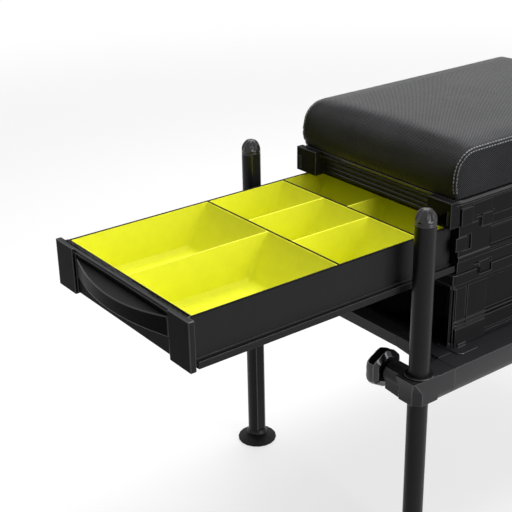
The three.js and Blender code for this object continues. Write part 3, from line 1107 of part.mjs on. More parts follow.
// Cushion: an end-on outline with round shoulders, carried across from seam to seam
function cushionOutline(inset, crown) {
  const half = CUSHION_LENGTH / 2 - inset;
  const [z0, z1] = [LID_TOP + SEAT_GAP, CUSHION_TOP - inset];
  const radius = CUSHION_SHOULDER_RADIUS - inset;
  const height = z1 - z0 - radius;
  const points = [];
  for (let i = 0; i < CUSHION_SIDE_STEPS; i += 1) {
    const share = i / CUSHION_SIDE_STEPS;
    const tuck = CUSHION_TUCK * (1 - share) ** 2;
    points.push([half + CUSHION_END_BULGE * Math.sin(Math.PI * share * 0.75) - tuck, z0 + height * share]);
  }
  const shoulderOut = CUSHION_END_BULGE * Math.sin(Math.PI * 0.75);
  for (let i = 0; i < CUSHION_SHOULDER_STEPS; i += 1) {
    const angle = (Math.PI / 2) * (i / CUSHION_SHOULDER_STEPS);
    points.push([half - radius + (radius + shoulderOut) * Math.cos(angle), z0 + height + radius * Math.sin(angle)]);
  }
  const flat = half - radius;
  for (let i = 0; i <= CUSHION_TOP_STEPS / 2; i += 1) {
    const y = flat * (1 - (2 * i) / CUSHION_TOP_STEPS);
    points.push([y, z1 + crown * (1 - (y / flat) ** 2)]);
  }
  const mirroredHalf = points.slice(0, -1).reverse().map(([y, z]) => [-y, z]);
  return [...points, ...mirroredHalf];
}

function makeCushion() {
  const half = CUSHION_WIDTH / 2;
  const sections = [];
  const edge = CUSHION_EDGE_ROUND;
  const addSection = (x, inset, crown) => sections.push(
    cushionOutline(inset, crown).map(([y, z]) => new THREE.Vector3(x, y, z)),
  );
  addSection(-half - CUSHION_SIDE_BULGE, edge, 0);
  addSection(-half, edge / 4, 0);
  for (let i = 0; i <= CUSHION_SECTIONS; i += 1) {
    const share = (2 * i) / CUSHION_SECTIONS - 1;
    addSection(share * (half - edge), 0, CUSHION_CROWN * (1 - share ** 2));
  }
  addSection(half, edge / 4, 0);
  addSection(half + CUSHION_SIDE_BULGE, edge, 0);
  addPiece('cushion', loftGeometry(sections), finishes.vinyl());
}

makeRails();
makeCornerBrackets();
makeBasePlates();
makeLegs();
makeLegCaps();
makeFeet();
makeDeepUnit();
makeDrawerUnit();
makeTrayUnit();
makeAllCatches();
makeRunners();
makeDrawerBody();
makeDrawerFront();
makeDrawerHandle();
makeInserts();
makeLid();
makeHinge();
makeCushion();

// The origin is on the ground, under the middle of the whole part with its drawer out
assembly.position.set(0, -(PART_FRONT + PART_BACK) / 2, 0);

export default part;
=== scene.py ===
"""Finishes, soft cover and small parts for a fishing seat box with its side drawer pulled out.

Metres, +Z up. The drawer opens towards -Y and the seat runs along Y.
"""
import json
import math
from typing import NamedTuple

import bmesh
import bpy
import numpy as np
from bpy.props import FloatProperty, FloatVectorProperty, IntProperty, PointerProperty
from bpy.types import NodeSocket, Operator, Panel, PropertyGroup
from mathutils import Matrix, Vector
from mathutils.bvhtree import BVHTree


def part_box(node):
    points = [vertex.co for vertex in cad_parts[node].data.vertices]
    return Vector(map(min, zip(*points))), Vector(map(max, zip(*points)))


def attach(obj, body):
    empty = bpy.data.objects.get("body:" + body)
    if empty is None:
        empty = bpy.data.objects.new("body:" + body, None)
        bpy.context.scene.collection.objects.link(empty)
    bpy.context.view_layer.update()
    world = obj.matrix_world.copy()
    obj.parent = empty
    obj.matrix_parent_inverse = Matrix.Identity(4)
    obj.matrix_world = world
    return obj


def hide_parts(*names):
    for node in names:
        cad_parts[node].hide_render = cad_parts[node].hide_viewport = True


bl_info = {
    "name": "Seat box finishes",
    "version": (1, 0, 0),
    "blender": (4, 5, 0),
    "location": "View3D > Sidebar > Seat Box",
    "description": "Covers, finishes and small parts for a fishing seat box",
    "category": "Object",
}

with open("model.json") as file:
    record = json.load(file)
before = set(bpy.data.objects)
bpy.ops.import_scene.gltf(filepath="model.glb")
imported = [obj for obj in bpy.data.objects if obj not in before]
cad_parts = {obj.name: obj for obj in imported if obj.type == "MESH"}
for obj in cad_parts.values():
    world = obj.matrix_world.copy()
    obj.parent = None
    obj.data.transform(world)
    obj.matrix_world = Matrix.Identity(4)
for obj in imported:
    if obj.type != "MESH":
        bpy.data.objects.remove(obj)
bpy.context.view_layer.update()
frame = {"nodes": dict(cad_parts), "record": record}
CORNERS = ("front_right", "front_left", "rear_right", "rear_left")
SAME_PLACE = 0.00001
FLAT_ANGLE = math.radians(0.4)
UPRIGHT = 1e-4


def slot_colour(name):
    """Base colour that the record gives a material slot."""
    for entry in frame["record"]["materials"]:
        if entry["slot"] == name:
            return tuple(entry["base_color"][:3])
    raise ValueError(f"the record has no slot {name}")


def colour_prop(label, about, default):
    return FloatVectorProperty(
        name=label, description=about, subtype="COLOR", size=3, min=0.0, max=1.0, default=default
    )


def length_prop(label, about, default):
    return FloatProperty(
        name=label, description=about, unit="LENGTH", min=0.0, default=default, precision=5
    )


def angle_prop(label, about, degrees):
    return FloatProperty(
        name=label, description=about, subtype="ANGLE", default=math.radians(degrees)
    )


def number_prop(label, about, default):
    return FloatProperty(name=label, description=about, default=default)


def count_prop(label, about, default):
    return IntProperty(name=label, description=about, min=2, default=default)


class SEATBOX_PG_colours(PropertyGroup):
    """Colours of the finishes."""

    casing: colour_prop("Casing plastic", "Units, lid and catches", (0.0216, 0.0216, 0.0228))
    drawer: colour_prop("Drawer plastic", "Drawer, front and handle", (0.039, 0.039, 0.040))
    insert: colour_prop("Insert lime", "Liners in the drawer", (0.82, 0.83, 0.040))
    rail: colour_prop("Rail coating", "Side and cross rails", (0.030, 0.029, 0.032))
    bracket: colour_prop("Bracket paint", "Castings and base plates", (0.029, 0.028, 0.031))
    leg: colour_prop("Leg anodising", "Leg tubes", slot_colour("leg_metal"))
    knob: colour_prop("Knob plastic", "Clamp knobs", slot_colour("knob_plastic"))
    bush: colour_prop("Bush plastic", "Caps, bushes, sockets", slot_colour("bush_plastic"))
    rubber: colour_prop("Foot rubber", "Swivelling feet", slot_colour("foot_rubber"))
    steel: colour_prop("Plated steel", "Hinge and screws", slot_colour("steel"))
    # The raised threads are painted lighter, a painted sheen, and the pressed hollows between them
    # darker, a painted shade.
    vinyl: colour_prop("Cushion vinyl", "Raised threads of the cover", (0.100, 0.100, 0.105))
    vinyl_hollow_shade: colour_prop("Vinyl gaps", "Between the threads", (0.0040, 0.0040, 0.0044))
    stitch: colour_prop("Stitches", "Thread of the double seam", (0.36, 0.36, 0.37))


class SEATBOX_PG_cushion(PropertyGroup):
    """Sizes of the cushion's cover."""

    cell: length_prop("Cloth cell", "Size of one cell of the simulated cloth", 0.006)
    start_inset: length_prop("Start inset", "How much smaller the cover starts", 0.0022)
    reach: length_prop("Reach", "Furthest that a point of the cover may move", 0.0045)
    pressure: number_prop("Pressure", "Push of the foam on the cover", 4.0)
    seam_width: length_prop("Seam width", "Reach of the pull of the seam on the cover", 0.009)
    seam_depth: length_prop("Seam depth", "How deep the seam draws the cover in", 0.0016)
    welt_radius: length_prop("Welt radius", "Radius of the folded edge along the seam", 0.0018)
    stitch_length: length_prop("Stitch length", "Length of one stitch", 0.0036)
    stitch_pitch: length_prop("Stitch pitch", "From one stitch to the next", 0.0066)
    stitch_radius: length_prop("Thread radius", "Radius of the thread", 0.0011)
    stitch_offset: length_prop("Stitch offset", "From the seam to each row of stitches", 0.0046)
    weave_pitch: length_prop("Weave pitch", "From one raised thread to the next", 0.0036)


class SEATBOX_PG_edges(PropertyGroup):
    """Rounding of hard edges."""

    moulded: length_prop("Moulded edges", "Rounding of plastic edges", 0.0010)
    insert: length_prop("Insert edges", "Rounding of the liners' edges", 0.0006)
    rim: length_prop("Rim edges", "Rounding of the lid, drawer front and knobs", 0.0015)
    metal: length_prop("Metal edges", "Rounding of rails and castings", 0.0011)
    small: length_prop("Small edges", "Rounding of sockets and the hinge", 0.0004)
    angle: angle_prop("Edge angle", "Edges sharper than this are rounded", 32)


class SEATBOX_PG_catches(PropertyGroup):
    """Painted shadows of the finger slots beside the catches."""

    slot_width: length_prop("Slot width", "Width of the slot beside a catch", 0.0075)
    slot_foot: length_prop("Slot foot", "From a catch's top to its slot's foot", 0.0195)
    upper_head: length_prop("Upper head", "From an upper catch's top to its slot's", 0.0055)
    lower_head: length_prop("Lower head", "From a lower catch's top to its slot's", 0.0096)
    upper_rise: length_prop("Upper rise", "From an upper catch's face to its slot's", 0.0006)
    lower_rise: length_prop("Lower rise", "From a lower catch's face to its slot's", 0.0036)


class SEATBOX_PG_caps(PropertyGroup):
    """Fluted leg caps."""

    flutes: count_prop("Flutes", "Hollows round the dome of a leg cap", 9)
    depth: length_prop("Flute depth", "How deep each hollow goes", 0.0026)


class SEATBOX_PG_screws(PropertyGroup):
    """Screw heads."""

    hinge_count: count_prop("Hinge screws", "Screws along the hinge", 7)
    hinge_radius: length_prop("Hinge screw head", "Radius of the hinge's heads", 0.0038)
    rail_radius: length_prop("Rail screw head", "Radius of the heads under the rails", 0.0055)


class SEATBOX_PG_stage(PropertyGroup):
    """Camera, lamps and floor."""

    camera_place: FloatVectorProperty(
        name="Camera place", description="Where the camera stands", subtype="TRANSLATION", size=3,
        default=(1.37134, -1.37792, 1.30662),
    )
    azimuth: angle_prop("Azimuth", "Camera's turn round the object", 53.31)
    elevation: angle_prop("Elevation", "Camera's height angle", 23.89)
    roll: angle_prop("Roll", "Camera's lean", -1.19)
    lens: number_prop("Lens", "Focal length in millimetres", 77.40)
    key: number_prop("Top lamp", "Power of the large lamp overhead", 95.0)
    side: number_prop("Side lamp", "Power of the lamp on the right", 70.0)
    world: number_prop("Backdrop light", "Strength of the backdrop's light", 0.9)


# Meshes


def link(piece):
    bpy.context.scene.collection.objects.link(piece)
    return piece


def given(thing, **settings):
    """The same thing, with some of its settings changed."""
    for name, value in settings.items():
        setattr(thing, name, value)
    return thing


def piece_from_bmesh(name, bm, material, smooth=True):
    """New mesh object from a bmesh, which is freed."""
    bmesh.ops.recalc_face_normals(bm, faces=bm.faces)
    mesh = bpy.data.meshes.new(name)
    bm.to_mesh(mesh)
    bm.free()
    if smooth:
        mesh.shade_smooth()
    mesh.materials.append(material)
    return link(bpy.data.objects.new(name, mesh))


def finish_nodes(names, material, width, segments=2, flatten=True, edge_finish=None):
    """Give model nodes a finish and rounded edges, which may be glossier; on the casings and the
    drawer front the edges are also painted lighter, a painted highlight.
    """
    edges = bpy.context.scene.seat_box_edges
    for name in names:
        node = frame["nodes"][name]
        mesh, modifiers = node.data, node.modifiers
        mesh.shade_smooth()
        mesh.materials.clear()
        mesh.materials.append(material)
        if edge_finish:
            mesh.materials.append(edge_finish)
        given(modifiers.new("Weld", "WELD"), merge_threshold=SAME_PLACE)
        if flatten:
            flat = modifiers.new("Flatten", "DECIMATE")
            given(flat, decimate_type="DISSOLVE", angle_limit=FLAT_ANGLE)
        given(
            modifiers.new("Rounding", "BEVEL"), width=width, segments=segments,
            limit_method="ANGLE", angle_limit=edges.angle, use_clamp_overlap=False,
            harden_normals=True, material=1 if edge_finish else -1,
        )
        given(modifiers.new("Normals", "WEIGHTED_NORMAL"), keep_sharp=True)


def bridge(bm, rings):
    """Faces from each ring of points to the next. A ring may be a single point."""
    steps = max(len(ring) for ring in rings)
    for first, second in zip(rings, rings[1:]):
        for k in range(steps):
            corners = (first[k % len(first)], first[(k + 1) % len(first)],
                       second[(k + 1) % len(second)], second[k % len(second)])
            corners = list(dict.fromkeys(corners))
            if len(corners) > 2:
                bm.faces.new(corners)


def tube_between(bm, points, radius, sides):
    """Closed tube along a line of points."""
    rings = []
    for i, point in enumerate(points):
        along = (points[min(i + 1, len(points) - 1)] - points[max(i - 1, 0)]).normalized()
        side = along.cross(Vector((0, 0, 1)))
        if side.length < UPRIGHT:
            side = along.cross(Vector((1, 0, 0)))
        side.normalize()
        other = along.cross(side)
        ring = []
        for k in range(sides):
            turn = 2 * math.pi * k / sides
            reach = math.cos(turn) * side + math.sin(turn) * other
            ring.append(bm.verts.new(point + radius * reach))
        rings.append(ring)
    bridge(bm, rings)
    bm.faces.new(rings[0])
    bm.faces.new(rings[-1][::-1])


def box_bmesh(first, second):
    """Box between two opposite corners."""
    bm = bmesh.new()
    bmesh.ops.create_cube(bm, size=1.0)
    for vert in bm.verts:
        for axis in range(3):
            middle, width = (first[axis] + second[axis]) / 2, second[axis] - first[axis]
            vert.co[axis] = middle + vert.co[axis] * width
    return bm


# Shader groups


def plug(tree, node, values):
    """Give a node's inputs, by name or place, their values or other nodes' outputs."""
    for label, value in values.items():
        if isinstance(value, NodeSocket):
            tree.links.new(value, node.inputs[label])
        else:
            node.inputs[label].default_value = value
    return node


def add_node(tree, kind, values, **settings):
    """New shader node with its settings and inputs."""
    return plug(tree, given(tree.nodes.new(f"ShaderNode{kind}"), **settings), values)


def math_node(tree, operation, *values, clamp=False):
    inputs = dict(enumerate(values))
    return add_node(tree, "Math", inputs, operation=operation, use_clamp=clamp).outputs[0]


def noise_node(tree, vector, scale, detail=2.0, roughness=0.5):
    values = {"Vector": vector, "Scale": scale, "Detail": detail, "Roughness": roughness}
    return add_node(tree, "TexNoise", values).outputs["Fac"]


def ranged(tree, value, low=0.0, high=1.0, to_low=0.0, to_high=1.0):
    """Value moved from one range to another on a smooth step."""
    labels = ("Value", "From Min", "From Max", "To Min", "To Max")
    values = dict(zip(labels, (value, low, high, to_low, to_high)))
    return add_node(tree, "MapRange", values, interpolation_type="SMOOTHSTEP").outputs["Result"]


def mixed_value(tree, mask, first, second):
    return add_node(tree, "Mix", {"Factor": mask, 2: first, 3: second}).outputs[0]


def mixed_colour(tree, mask, first, second):
    ends = [end if isinstance(end, NodeSocket) else (*end, 1.0) for end in (first, second)]
    values = {"Factor": mask, 6: ends[0], 7: ends[1]}
    return add_node(tree, "Mix", values, data_type="RGBA").outputs[2]


def new_group(name, inputs, outputs):
    """Empty shader group and its two end nodes. An input with no default takes a vector."""
    group = bpy.data.node_groups.new(name, "ShaderNodeTree")
    for label, default in inputs.items():
        kind = "NodeSocketVector" if default is None else "NodeSocketFloat"
        socket = group.interface.new_socket(name=label, in_out="INPUT", socket_type=kind)
        if default is not None:
            socket.default_value = default
    for label in outputs:
        group.interface.new_socket(name=label, in_out="OUTPUT", socket_type="NodeSocketFloat")
    return group, group.nodes.new("NodeGroupInput"), group.nodes.new("NodeGroupOutput")


def moulded_grain_group(name):
    """Fine texture of a mould, and slow patches of shine."""
    inputs = {"Vector": None, "Grain": 900.0, "Patches": 14.0}
    group, start, end = new_group(name, inputs, ("Height", "Patches"))
    vector = start.outputs["Vector"]
    fine = noise_node(group, vector, start.outputs["Grain"], detail=3.0, roughness=0.6)
    slow = noise_node(group, vector, start.outputs["Patches"], detail=4.0, roughness=0.55)
    plug(group, end, {"Height": fine, "Patches": ranged(group, slow, low=0.35, high=0.65)})
    return group


def edge_wear_group(name):
    """Rubbed edges, broken up by noise."""
    inputs = {"Vector": None, "Edge": 0.5, "Breakup": 60.0}
    group, start, end = new_group(name, inputs, ("Mask",))
    vector, scale = start.outputs["Vector"], start.outputs["Breakup"]
    sharp = ranged(group, start.outputs["Edge"], low=0.58, high=0.70)
    cloud = noise_node(group, vector, scale, detail=5.0, roughness=0.65)
    broken = ranged(group, cloud, low=0.42, high=0.62)
    plug(group, end, {"Mask": math_node(group, "MULTIPLY", sharp, broken)})
    return group


def weave_group(name):
    """Diamond weave pressed into vinyl: rounded cells on two crossing diagonals."""
    inputs = {"Across": 0.0, "Along": 0.0, "Pitch": 0.003}
    group, start, end = new_group(name, inputs, ("Height", "Threads"))
    turns = math_node(group, "DIVIDE", math.pi, start.outputs["Pitch"])
    waves = []
    for sign in ("ADD", "SUBTRACT"):
        diagonal = math_node(group, sign, start.outputs["Across"], start.outputs["Along"])
        wave = math_node(group, "SINE", math_node(group, "MULTIPLY", diagonal, turns))
        waves.append(math_node(group, "ABSOLUTE", wave))
    height = math_node(group, "POWER", math_node(group, "MULTIPLY", *waves), THREAD_ROUNDNESS)
    plug(group, end, {"Height": height, "Threads": ranged(group, height, low=0.50, high=0.92)})
    return group


def drawn_metal_group(name):
    """Faint lines along a drawn tube, and slow clouding."""
    group, start, end = new_group(name, {"Vector": None}, ("Height", "Clouds"))
    vector = start.outputs["Vector"]
    drawn = add_node(group, "VectorMath", {0: vector, 1: DRAWN_LINES}, operation="MULTIPLY")
    clouds = noise_node(group, vector, 22.0, detail=4.0, roughness=0.6)
    plug(group, end, {
        "Height": noise_node(group, drawn.outputs[0], 1.0),
        "Clouds": ranged(group, clouds, low=0.35, high=0.68),
    })
    return group


SHADER_GROUPS = {
    "Moulded grain": moulded_grain_group,
    "Edge wear": edge_wear_group,
    "Diamond weave": weave_group,
    "Drawn metal": drawn_metal_group,
}
THREAD_ROUNDNESS = 0.6
DRAWN_LINES = (900.0, 900.0, 12.0)


def use_group(tree, name, values):
    """Node of a shared shader group, which is made on first use."""
    group = bpy.data.node_groups.get(name) or SHADER_GROUPS[name](name)
    return add_node(tree, "Group", values, node_tree=group)


# Materials


class Finish(NamedTuple):
    """Look of a moulded or painted surface."""

    colour: str
    roughness: float
    grains_per_metre: float
    bump: float
    wear: float = 0.0
    coat: float = 0.0
    specular: float = 0.5
    # Tint scales the colour: above 1 it paints edges lighter as a painted highlight, below 1 it
    # paints slots and rib bars darker as a painted shade.
    tint: float = 1.0


FINISHES = {
    "Casing plastic": Finish("casing", 0.36, 1100.0, 0.12, wear=0.01, specular=0.01),
    # Glossier casing edges, their colour also painted lighter as a painted highlight.
    "Casing edges": Finish("casing", 0.24, 1300.0, 0.03, specular=0.40, tint=1.2),
    # Casing colour darkened to a fifth: the painted shadow of the finger slots.
    "Slot shade": Finish("casing", 0.60, 1100.0, 0.05, specular=0.02, tint=0.2),
    "Lid rim plastic": Finish("casing", 0.20, 1300.0, 0.03, wear=0.03, coat=0.3, specular=0.30),
    "Drawer plastic": Finish("drawer", 0.34, 1300.0, 0.07, wear=0.01, specular=0.018),
    "Drawer edges": Finish("drawer", 0.28, 1300.0, 0.03, specular=0.12),
    # Glossier front edges, their colour also painted lighter as a painted highlight.
    "Front edges": Finish("drawer", 0.22, 1300.0, 0.03, specular=0.34, tint=1.3),
    # Drawer colour darkened to 0.3: real rib plastic with painted shade for the gaps beside the
    # liners.
    "Rib plastic": Finish("drawer", 0.50, 1300.0, 0.05, specular=0.03, tint=0.3),
    "Insert lime": Finish("insert", 0.50, 900.0, 0.03, wear=0.01, specular=0.10),
    "Rail coating": Finish("rail", 0.34, 1500.0, 0.05, wear=0.01, specular=0.22),
    "Bracket paint": Finish("bracket", 0.32, 800.0, 0.10, wear=0.01, specular=0.20),
    "Frame edges": Finish("rail", 0.22, 1500.0, 0.03, coat=0.2),
    "Leg edges": Finish("leg", 0.20, 1500.0, 0.02, coat=0.3),
    "Bush plastic": Finish("bush", 0.38, 1200.0, 0.06, wear=0.004, specular=0.2),
    "Bush edges": Finish("bush", 0.18, 1200.0, 0.02, coat=0.2),
    "Cap plastic": Finish("bush", 0.20, 1200.0, 0.03, specular=0.4),
    "Knob plastic": Finish("knob", 0.16, 1500.0, 0.02, wear=0.01, coat=0.3, specular=0.35),
    "Knob edges": Finish("knob", 0.10, 1500.0, 0.02, coat=1.0),
    "Foot rubber": Finish("rubber", 0.75, 700.0, 0.20, wear=0.004, specular=0.2),
}
PATCHES_PER_METRE = 45.0
RUBS_PER_METRE = 70.0
PATCH_LIGHTER = 1.03
RUBBED_LIGHTER = 1.3
SHINIEST, DULLEST = 0.96, 1.05
MOULD_RELIEF = 0.0004
SIDE_FACING = 0.72
VINYL_WORN = 1.1
VINYL_PATCHES = 0.10
VINYL_GRAIN = 0.12
GAP_SHEEN = 0.4


def new_material(name):
    """Material with a bare Principled BSDF, and its coordinates."""
    material = bpy.data.materials.new(name)
    material.use_nodes = True
    tree = material.node_tree
    return material, tree, tree.nodes["Principled BSDF"], add_node(tree, "TexCoord", {})


def add_bump(tree, shader, height, strength, relief):
    """Fine relief, of a depth in metres."""
    bump = add_node(tree, "Bump", {"Height": height, "Strength": strength, "Distance": relief})
    plug(tree, shader, {"Normal": bump.outputs["Normal"]})


def grain(tree, place, grains_per_metre, patches_per_metre):
    """Height and patches of a fine grain."""
    node = use_group(tree, "Moulded grain", {
        "Vector": place.outputs["Object"], "Grain": grains_per_metre, "Patches": patches_per_metre,
    })
    return node.outputs["Height"], node.outputs["Patches"]


def clouded(tree, shader, clouds, colour, tint, shine):
    """Colour and roughness that change a little in the clouds."""
    plug(tree, shader, {
        "Base Color": mixed_colour(tree, clouds, colour, tuple(c * tint for c in colour)),
        "Roughness": ranged(tree, clouds, to_low=shine[0], to_high=shine[1]),
    })


def moulded_material(name):
    """Moulded or painted surface: fine grain, patches of shine, rubbed edges."""
    finish = FINISHES[name]
    base = getattr(bpy.context.scene.seat_box_colours, finish.colour)
    # The tint paints the colour lighter on some edges as a painted highlight, or darker as a
    # painted shade.
    colour = tuple(c * finish.tint for c in base)
    material, tree, shader, place = new_material(name)
    height, patches = grain(tree, place, finish.grains_per_metre, PATCHES_PER_METRE)
    rubbed = use_group(tree, "Edge wear", {
        "Vector": place.outputs["Object"],
        "Edge": add_node(tree, "NewGeometry", {}).outputs["Pointiness"],
        "Breakup": RUBS_PER_METRE,
    })
    lighter = tuple(min(1.0, c * PATCH_LIGHTER) for c in colour)
    worn = tuple(min(1.0, c * RUBBED_LIGHTER + finish.wear) for c in colour)
    patched = mixed_colour(tree, patches, colour, lighter)
    least, most = finish.roughness * SHINIEST, finish.roughness * DULLEST
    plug(tree, shader, {
        "Base Color": mixed_colour(tree, rubbed.outputs["Mask"], patched, worn),
        "Roughness": ranged(tree, patches, to_low=least, to_high=most),
        "Coat Weight": finish.coat,
        "Specular IOR Level": finish.specular,
    })
    add_bump(tree, shader, height, finish.bump, MOULD_RELIEF)
    return material


def leg_material(colour):
    """Anodised tube with faint drawn lines."""
    material, tree, shader, place = new_material("Anodised leg")
    drawn = use_group(tree, "Drawn metal", {"Vector": place.outputs["Object"]}).outputs
    clouded(tree, shader, drawn["Clouds"], colour, tint=1.15, shine=(0.34, 0.38))
    plug(tree, shader, {"Specular IOR Level": 0.14})
    add_bump(tree, shader, drawn["Height"], strength=0.12, relief=0.0003)
    return material


def steel_material(colour):
    """Zinc-plated steel."""
    material, tree, shader, place = new_material("Plated steel")
    height, patches = grain(tree, place, grains_per_metre=700.0, patches_per_metre=40.0)
    clouded(tree, shader, patches, colour, tint=0.93, shine=(0.33, 0.37))
    plug(tree, shader, {"Metallic": 1.0})
    add_bump(tree, shader, height, strength=0.1, relief=0.0002)
    return material


def thread_material(colour):
    """Twisted sewing thread."""
    material, tree, shader, place = new_material("Sewing thread")
    height, patches = grain(tree, place, grains_per_metre=2600.0, patches_per_metre=60.0)
    clouded(tree, shader, patches, colour, tint=0.6, shine=(0.8, 0.8))
    plug(tree, shader, {"Sheen Weight": 0.3})
    add_bump(tree, shader, height, strength=0.3, relief=0.0003)
    return material


def vinyl_material(colours, pitch):
    """Black vinyl with a pressed diamond weave that follows the cover round its ends."""
    material, tree, shader, place = new_material("Woven vinyl")
    low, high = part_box("cushion")
    middle = (low.y + high.y) / 2
    at = add_node(tree, "SeparateXYZ", {0: place.outputs["Object"]}).outputs
    facing = add_node(tree, "SeparateXYZ", {0: place.outputs["Normal"]}).outputs["X"]
    drop = math_node(tree, "SUBTRACT", at["Z"], high.z)
    end = math_node(tree, "SIGN", math_node(tree, "SUBTRACT", middle, at["Y"]))
    wrapped = math_node(tree, "MULTIPLY_ADD", end, drop, at["Y"])
    on_side = math_node(tree, "GREATER_THAN", math_node(tree, "ABSOLUTE", facing), SIDE_FACING)
    weave = use_group(tree, "Diamond weave", {
        "Across": mixed_value(tree, on_side, at["X"], at["Z"]),
        "Along": mixed_value(tree, on_side, wrapped, at["Y"]),
        "Pitch": pitch,
    }).outputs
    height, patches = grain(tree, place, grains_per_metre=1400.0, patches_per_metre=9.0)
    # The weave's colour is painted: lighter threads as painted sheen, darker hollows as painted
    # shade.
    weave_sheen_and_shade = mixed_colour(tree, weave["Threads"], colours.vinyl_hollow_shade, colours.vinyl)
    worn = tuple(c * VINYL_WORN for c in colours.vinyl)
    shade = math_node(tree, "MULTIPLY", patches, VINYL_PATCHES)
    grazing = add_node(tree, "LayerWeight", {"Blend": 0.5}).outputs["Facing"]
    sheen = ranged(tree, grazing, low=0.42, high=0.70, to_high=0.72)
    woven = math_node(tree, "MULTIPLY_ADD", weave["Threads"], 1 - GAP_SHEEN, GAP_SHEEN)
    plug(tree, shader, {
        "Base Color": mixed_colour(tree, shade, weave_sheen_and_shade, worn),
        "Roughness": ranged(tree, weave["Threads"], to_low=0.80, to_high=0.62),
        "Specular IOR Level": 0.03,
        "Coat Weight": math_node(tree, "MULTIPLY", sheen, woven),
        "Coat Roughness": 0.38,
    })
    both = math_node(tree, "MULTIPLY_ADD", height, VINYL_GRAIN, weave["Height"])
    add_bump(tree, shader, both, strength=0.6, relief=0.0007)
    return material


def named_material(name, maker, *values):
    """Material of that name, made on first use."""
    return bpy.data.materials.get(name) or maker(*values)


# Cushion

SEAM_INSET = 0.003
SEAM_SLACK = 0.0004
SEAM_FOOT = 0.002
SEAM_CENTRE = 0.3
SEAM_SQUASH = 0.25
SEAM_STEP = 0.004
SEAM_HOLD = 0.85
WELT_STEP = 0.006
HELD_BASE = 0.004
CLOTH_STEPS = 20
EVENING_ROUNDS = 14
STITCH_FLAT = 0.6
TINY = 1e-9


def seam_line(side):
    """Open outline of the cover where the top panel meets a side panel, from end to end."""
    low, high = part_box("cushion")
    edge = side * (high.x - SEAM_INSET)
    vertices = frame["nodes"]["cushion"].data.vertices
    points = [v.co.copy() for v in vertices if abs(v.co.x - edge) < SEAM_SLACK]
    unique = {(round(p.y, 5), round(p.z, 5)): p for p in points}
    middle = Vector((edge, (low.y + high.y) / 2, low.z + SEAM_CENTRE * (high.z - low.z)))
    rim = [p for p in unique.values() if p.z > low.z + SEAM_FOOT]
    rim.sort(key=lambda p: math.atan2(p.z - middle.z, (p.y - middle.y) * SEAM_SQUASH))
    start = min(range(len(rim)), key=lambda i: (rim[i].z, -rim[i].y))
    ordered = rim[start:] + rim[:start]
    if ordered[0].y > ordered[-1].y:
        ordered.reverse()
    return ordered


def evened(points, step):
    """The same line, with points at an even step."""
    places, total = [0.0], 0.0
    for first, second in zip(points, points[1:]):
        total += (second - first).length
        places.append(total)
    count = max(2, int(total / step))
    made = []
    for i in range(count + 1):
        place = total * i / count
        k = max(j for j in range(len(places)) if places[j] <= place + TINY)
        k = min(k, len(points) - 2)
        share = (place - places[k]) / max(places[k + 1] - places[k], TINY)
        made.append(points[k].lerp(points[k + 1], min(share, 1.0)))
    return made


def shrunk_cover(cell, inset):
    """Cover mesh before it is filled: the cushion's solid, drawn in and cut into even cells."""
    source = frame["nodes"]["cushion"]
    low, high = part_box("cushion")
    centre = (low + high) / 2
    bm = bmesh.new()
    bm.from_mesh(source.data)
    bmesh.ops.remove_doubles(bm, verts=bm.verts, dist=SAME_PLACE)
    half = (high - low) / 2
    for vert in bm.verts:
        for axis in (0, 1):
            share = (half[axis] - inset) / half[axis]
            vert.co[axis] = centre[axis] + (vert.co[axis] - centre[axis]) * share
        vert.co.z = low.z + (vert.co.z - low.z) * (2 * half.z - inset) / (2 * half.z)
    mesh = bpy.data.meshes.new("cushion_cover")
    bm.to_mesh(mesh)
    bm.free()
    cover = link(bpy.data.objects.new("cushion_cover", mesh))
    given(cover.modifiers.new("Cells", "REMESH"), mode="VOXEL", voxel_size=cell)
    apply_modifiers(cover)
    return cover


def apply_modifiers(piece):
    """Keep what a piece's modifiers make as its own mesh."""
    graph = bpy.context.evaluated_depsgraph_get()
    made = bpy.data.meshes.new_from_object(piece.evaluated_get(graph))
    piece.modifiers.clear()
    old = piece.data
    piece.data = made
    bpy.data.meshes.remove(old)
    made.name = piece.name


def vertex_rows(mesh, key):
    """Coordinates or normals of a mesh's points."""
    values = np.zeros(len(mesh.vertices) * 3, np.float32)
    mesh.vertices.foreach_get(key, values)
    return values.reshape(-1, 3).astype(float)


def fill_cover(cover, pressure, reach, seams, seam_width):
    """Press the cover outwards as foam does, held at its base and along its seams."""
    mesh = cover.data
    rest = vertex_rows(mesh, "co")
    base = rest[:, 2].min()
    hold = cover.vertex_groups.new(name="Held")
    near = seam_distance(rest, seams)
    for i, point in enumerate(rest):
        weight = SEAM_HOLD * (1 - near[i] / seam_width)
        if point[2] < base + HELD_BASE:
            weight = 1.0
        if weight > 0:
            hold.add([i], weight, "REPLACE")
    cloth = cover.modifiers.new("Foam", "CLOTH")
    given(
        cloth.settings, quality=4, mass=0.3, tension_stiffness=18, compression_stiffness=18,
        bending_stiffness=1.5, use_pressure=True, uniform_pressure_force=pressure,
        vertex_group_mass="Held",
    )
    cloth.settings.effector_weights.gravity = 0.0
    given(cloth.point_cache, frame_start=1, frame_end=CLOTH_STEPS)
    scene = bpy.context.scene
    for step in range(1, CLOTH_STEPS + 1):
        scene.frame_set(step)
    graph = bpy.context.evaluated_depsgraph_get()
    filled = vertex_rows(cover.evaluated_get(graph).data, "co")
    cover.modifiers.clear()
    scene.frame_set(1)
    move = filled - rest
    length = np.linalg.norm(move, axis=1, keepdims=True)
    move *= np.minimum(1.0, reach / np.maximum(length, TINY))
    move = evened_out(mesh, move)
    mesh.vertices.foreach_set("co", (rest + move).ravel())
    mesh.update()


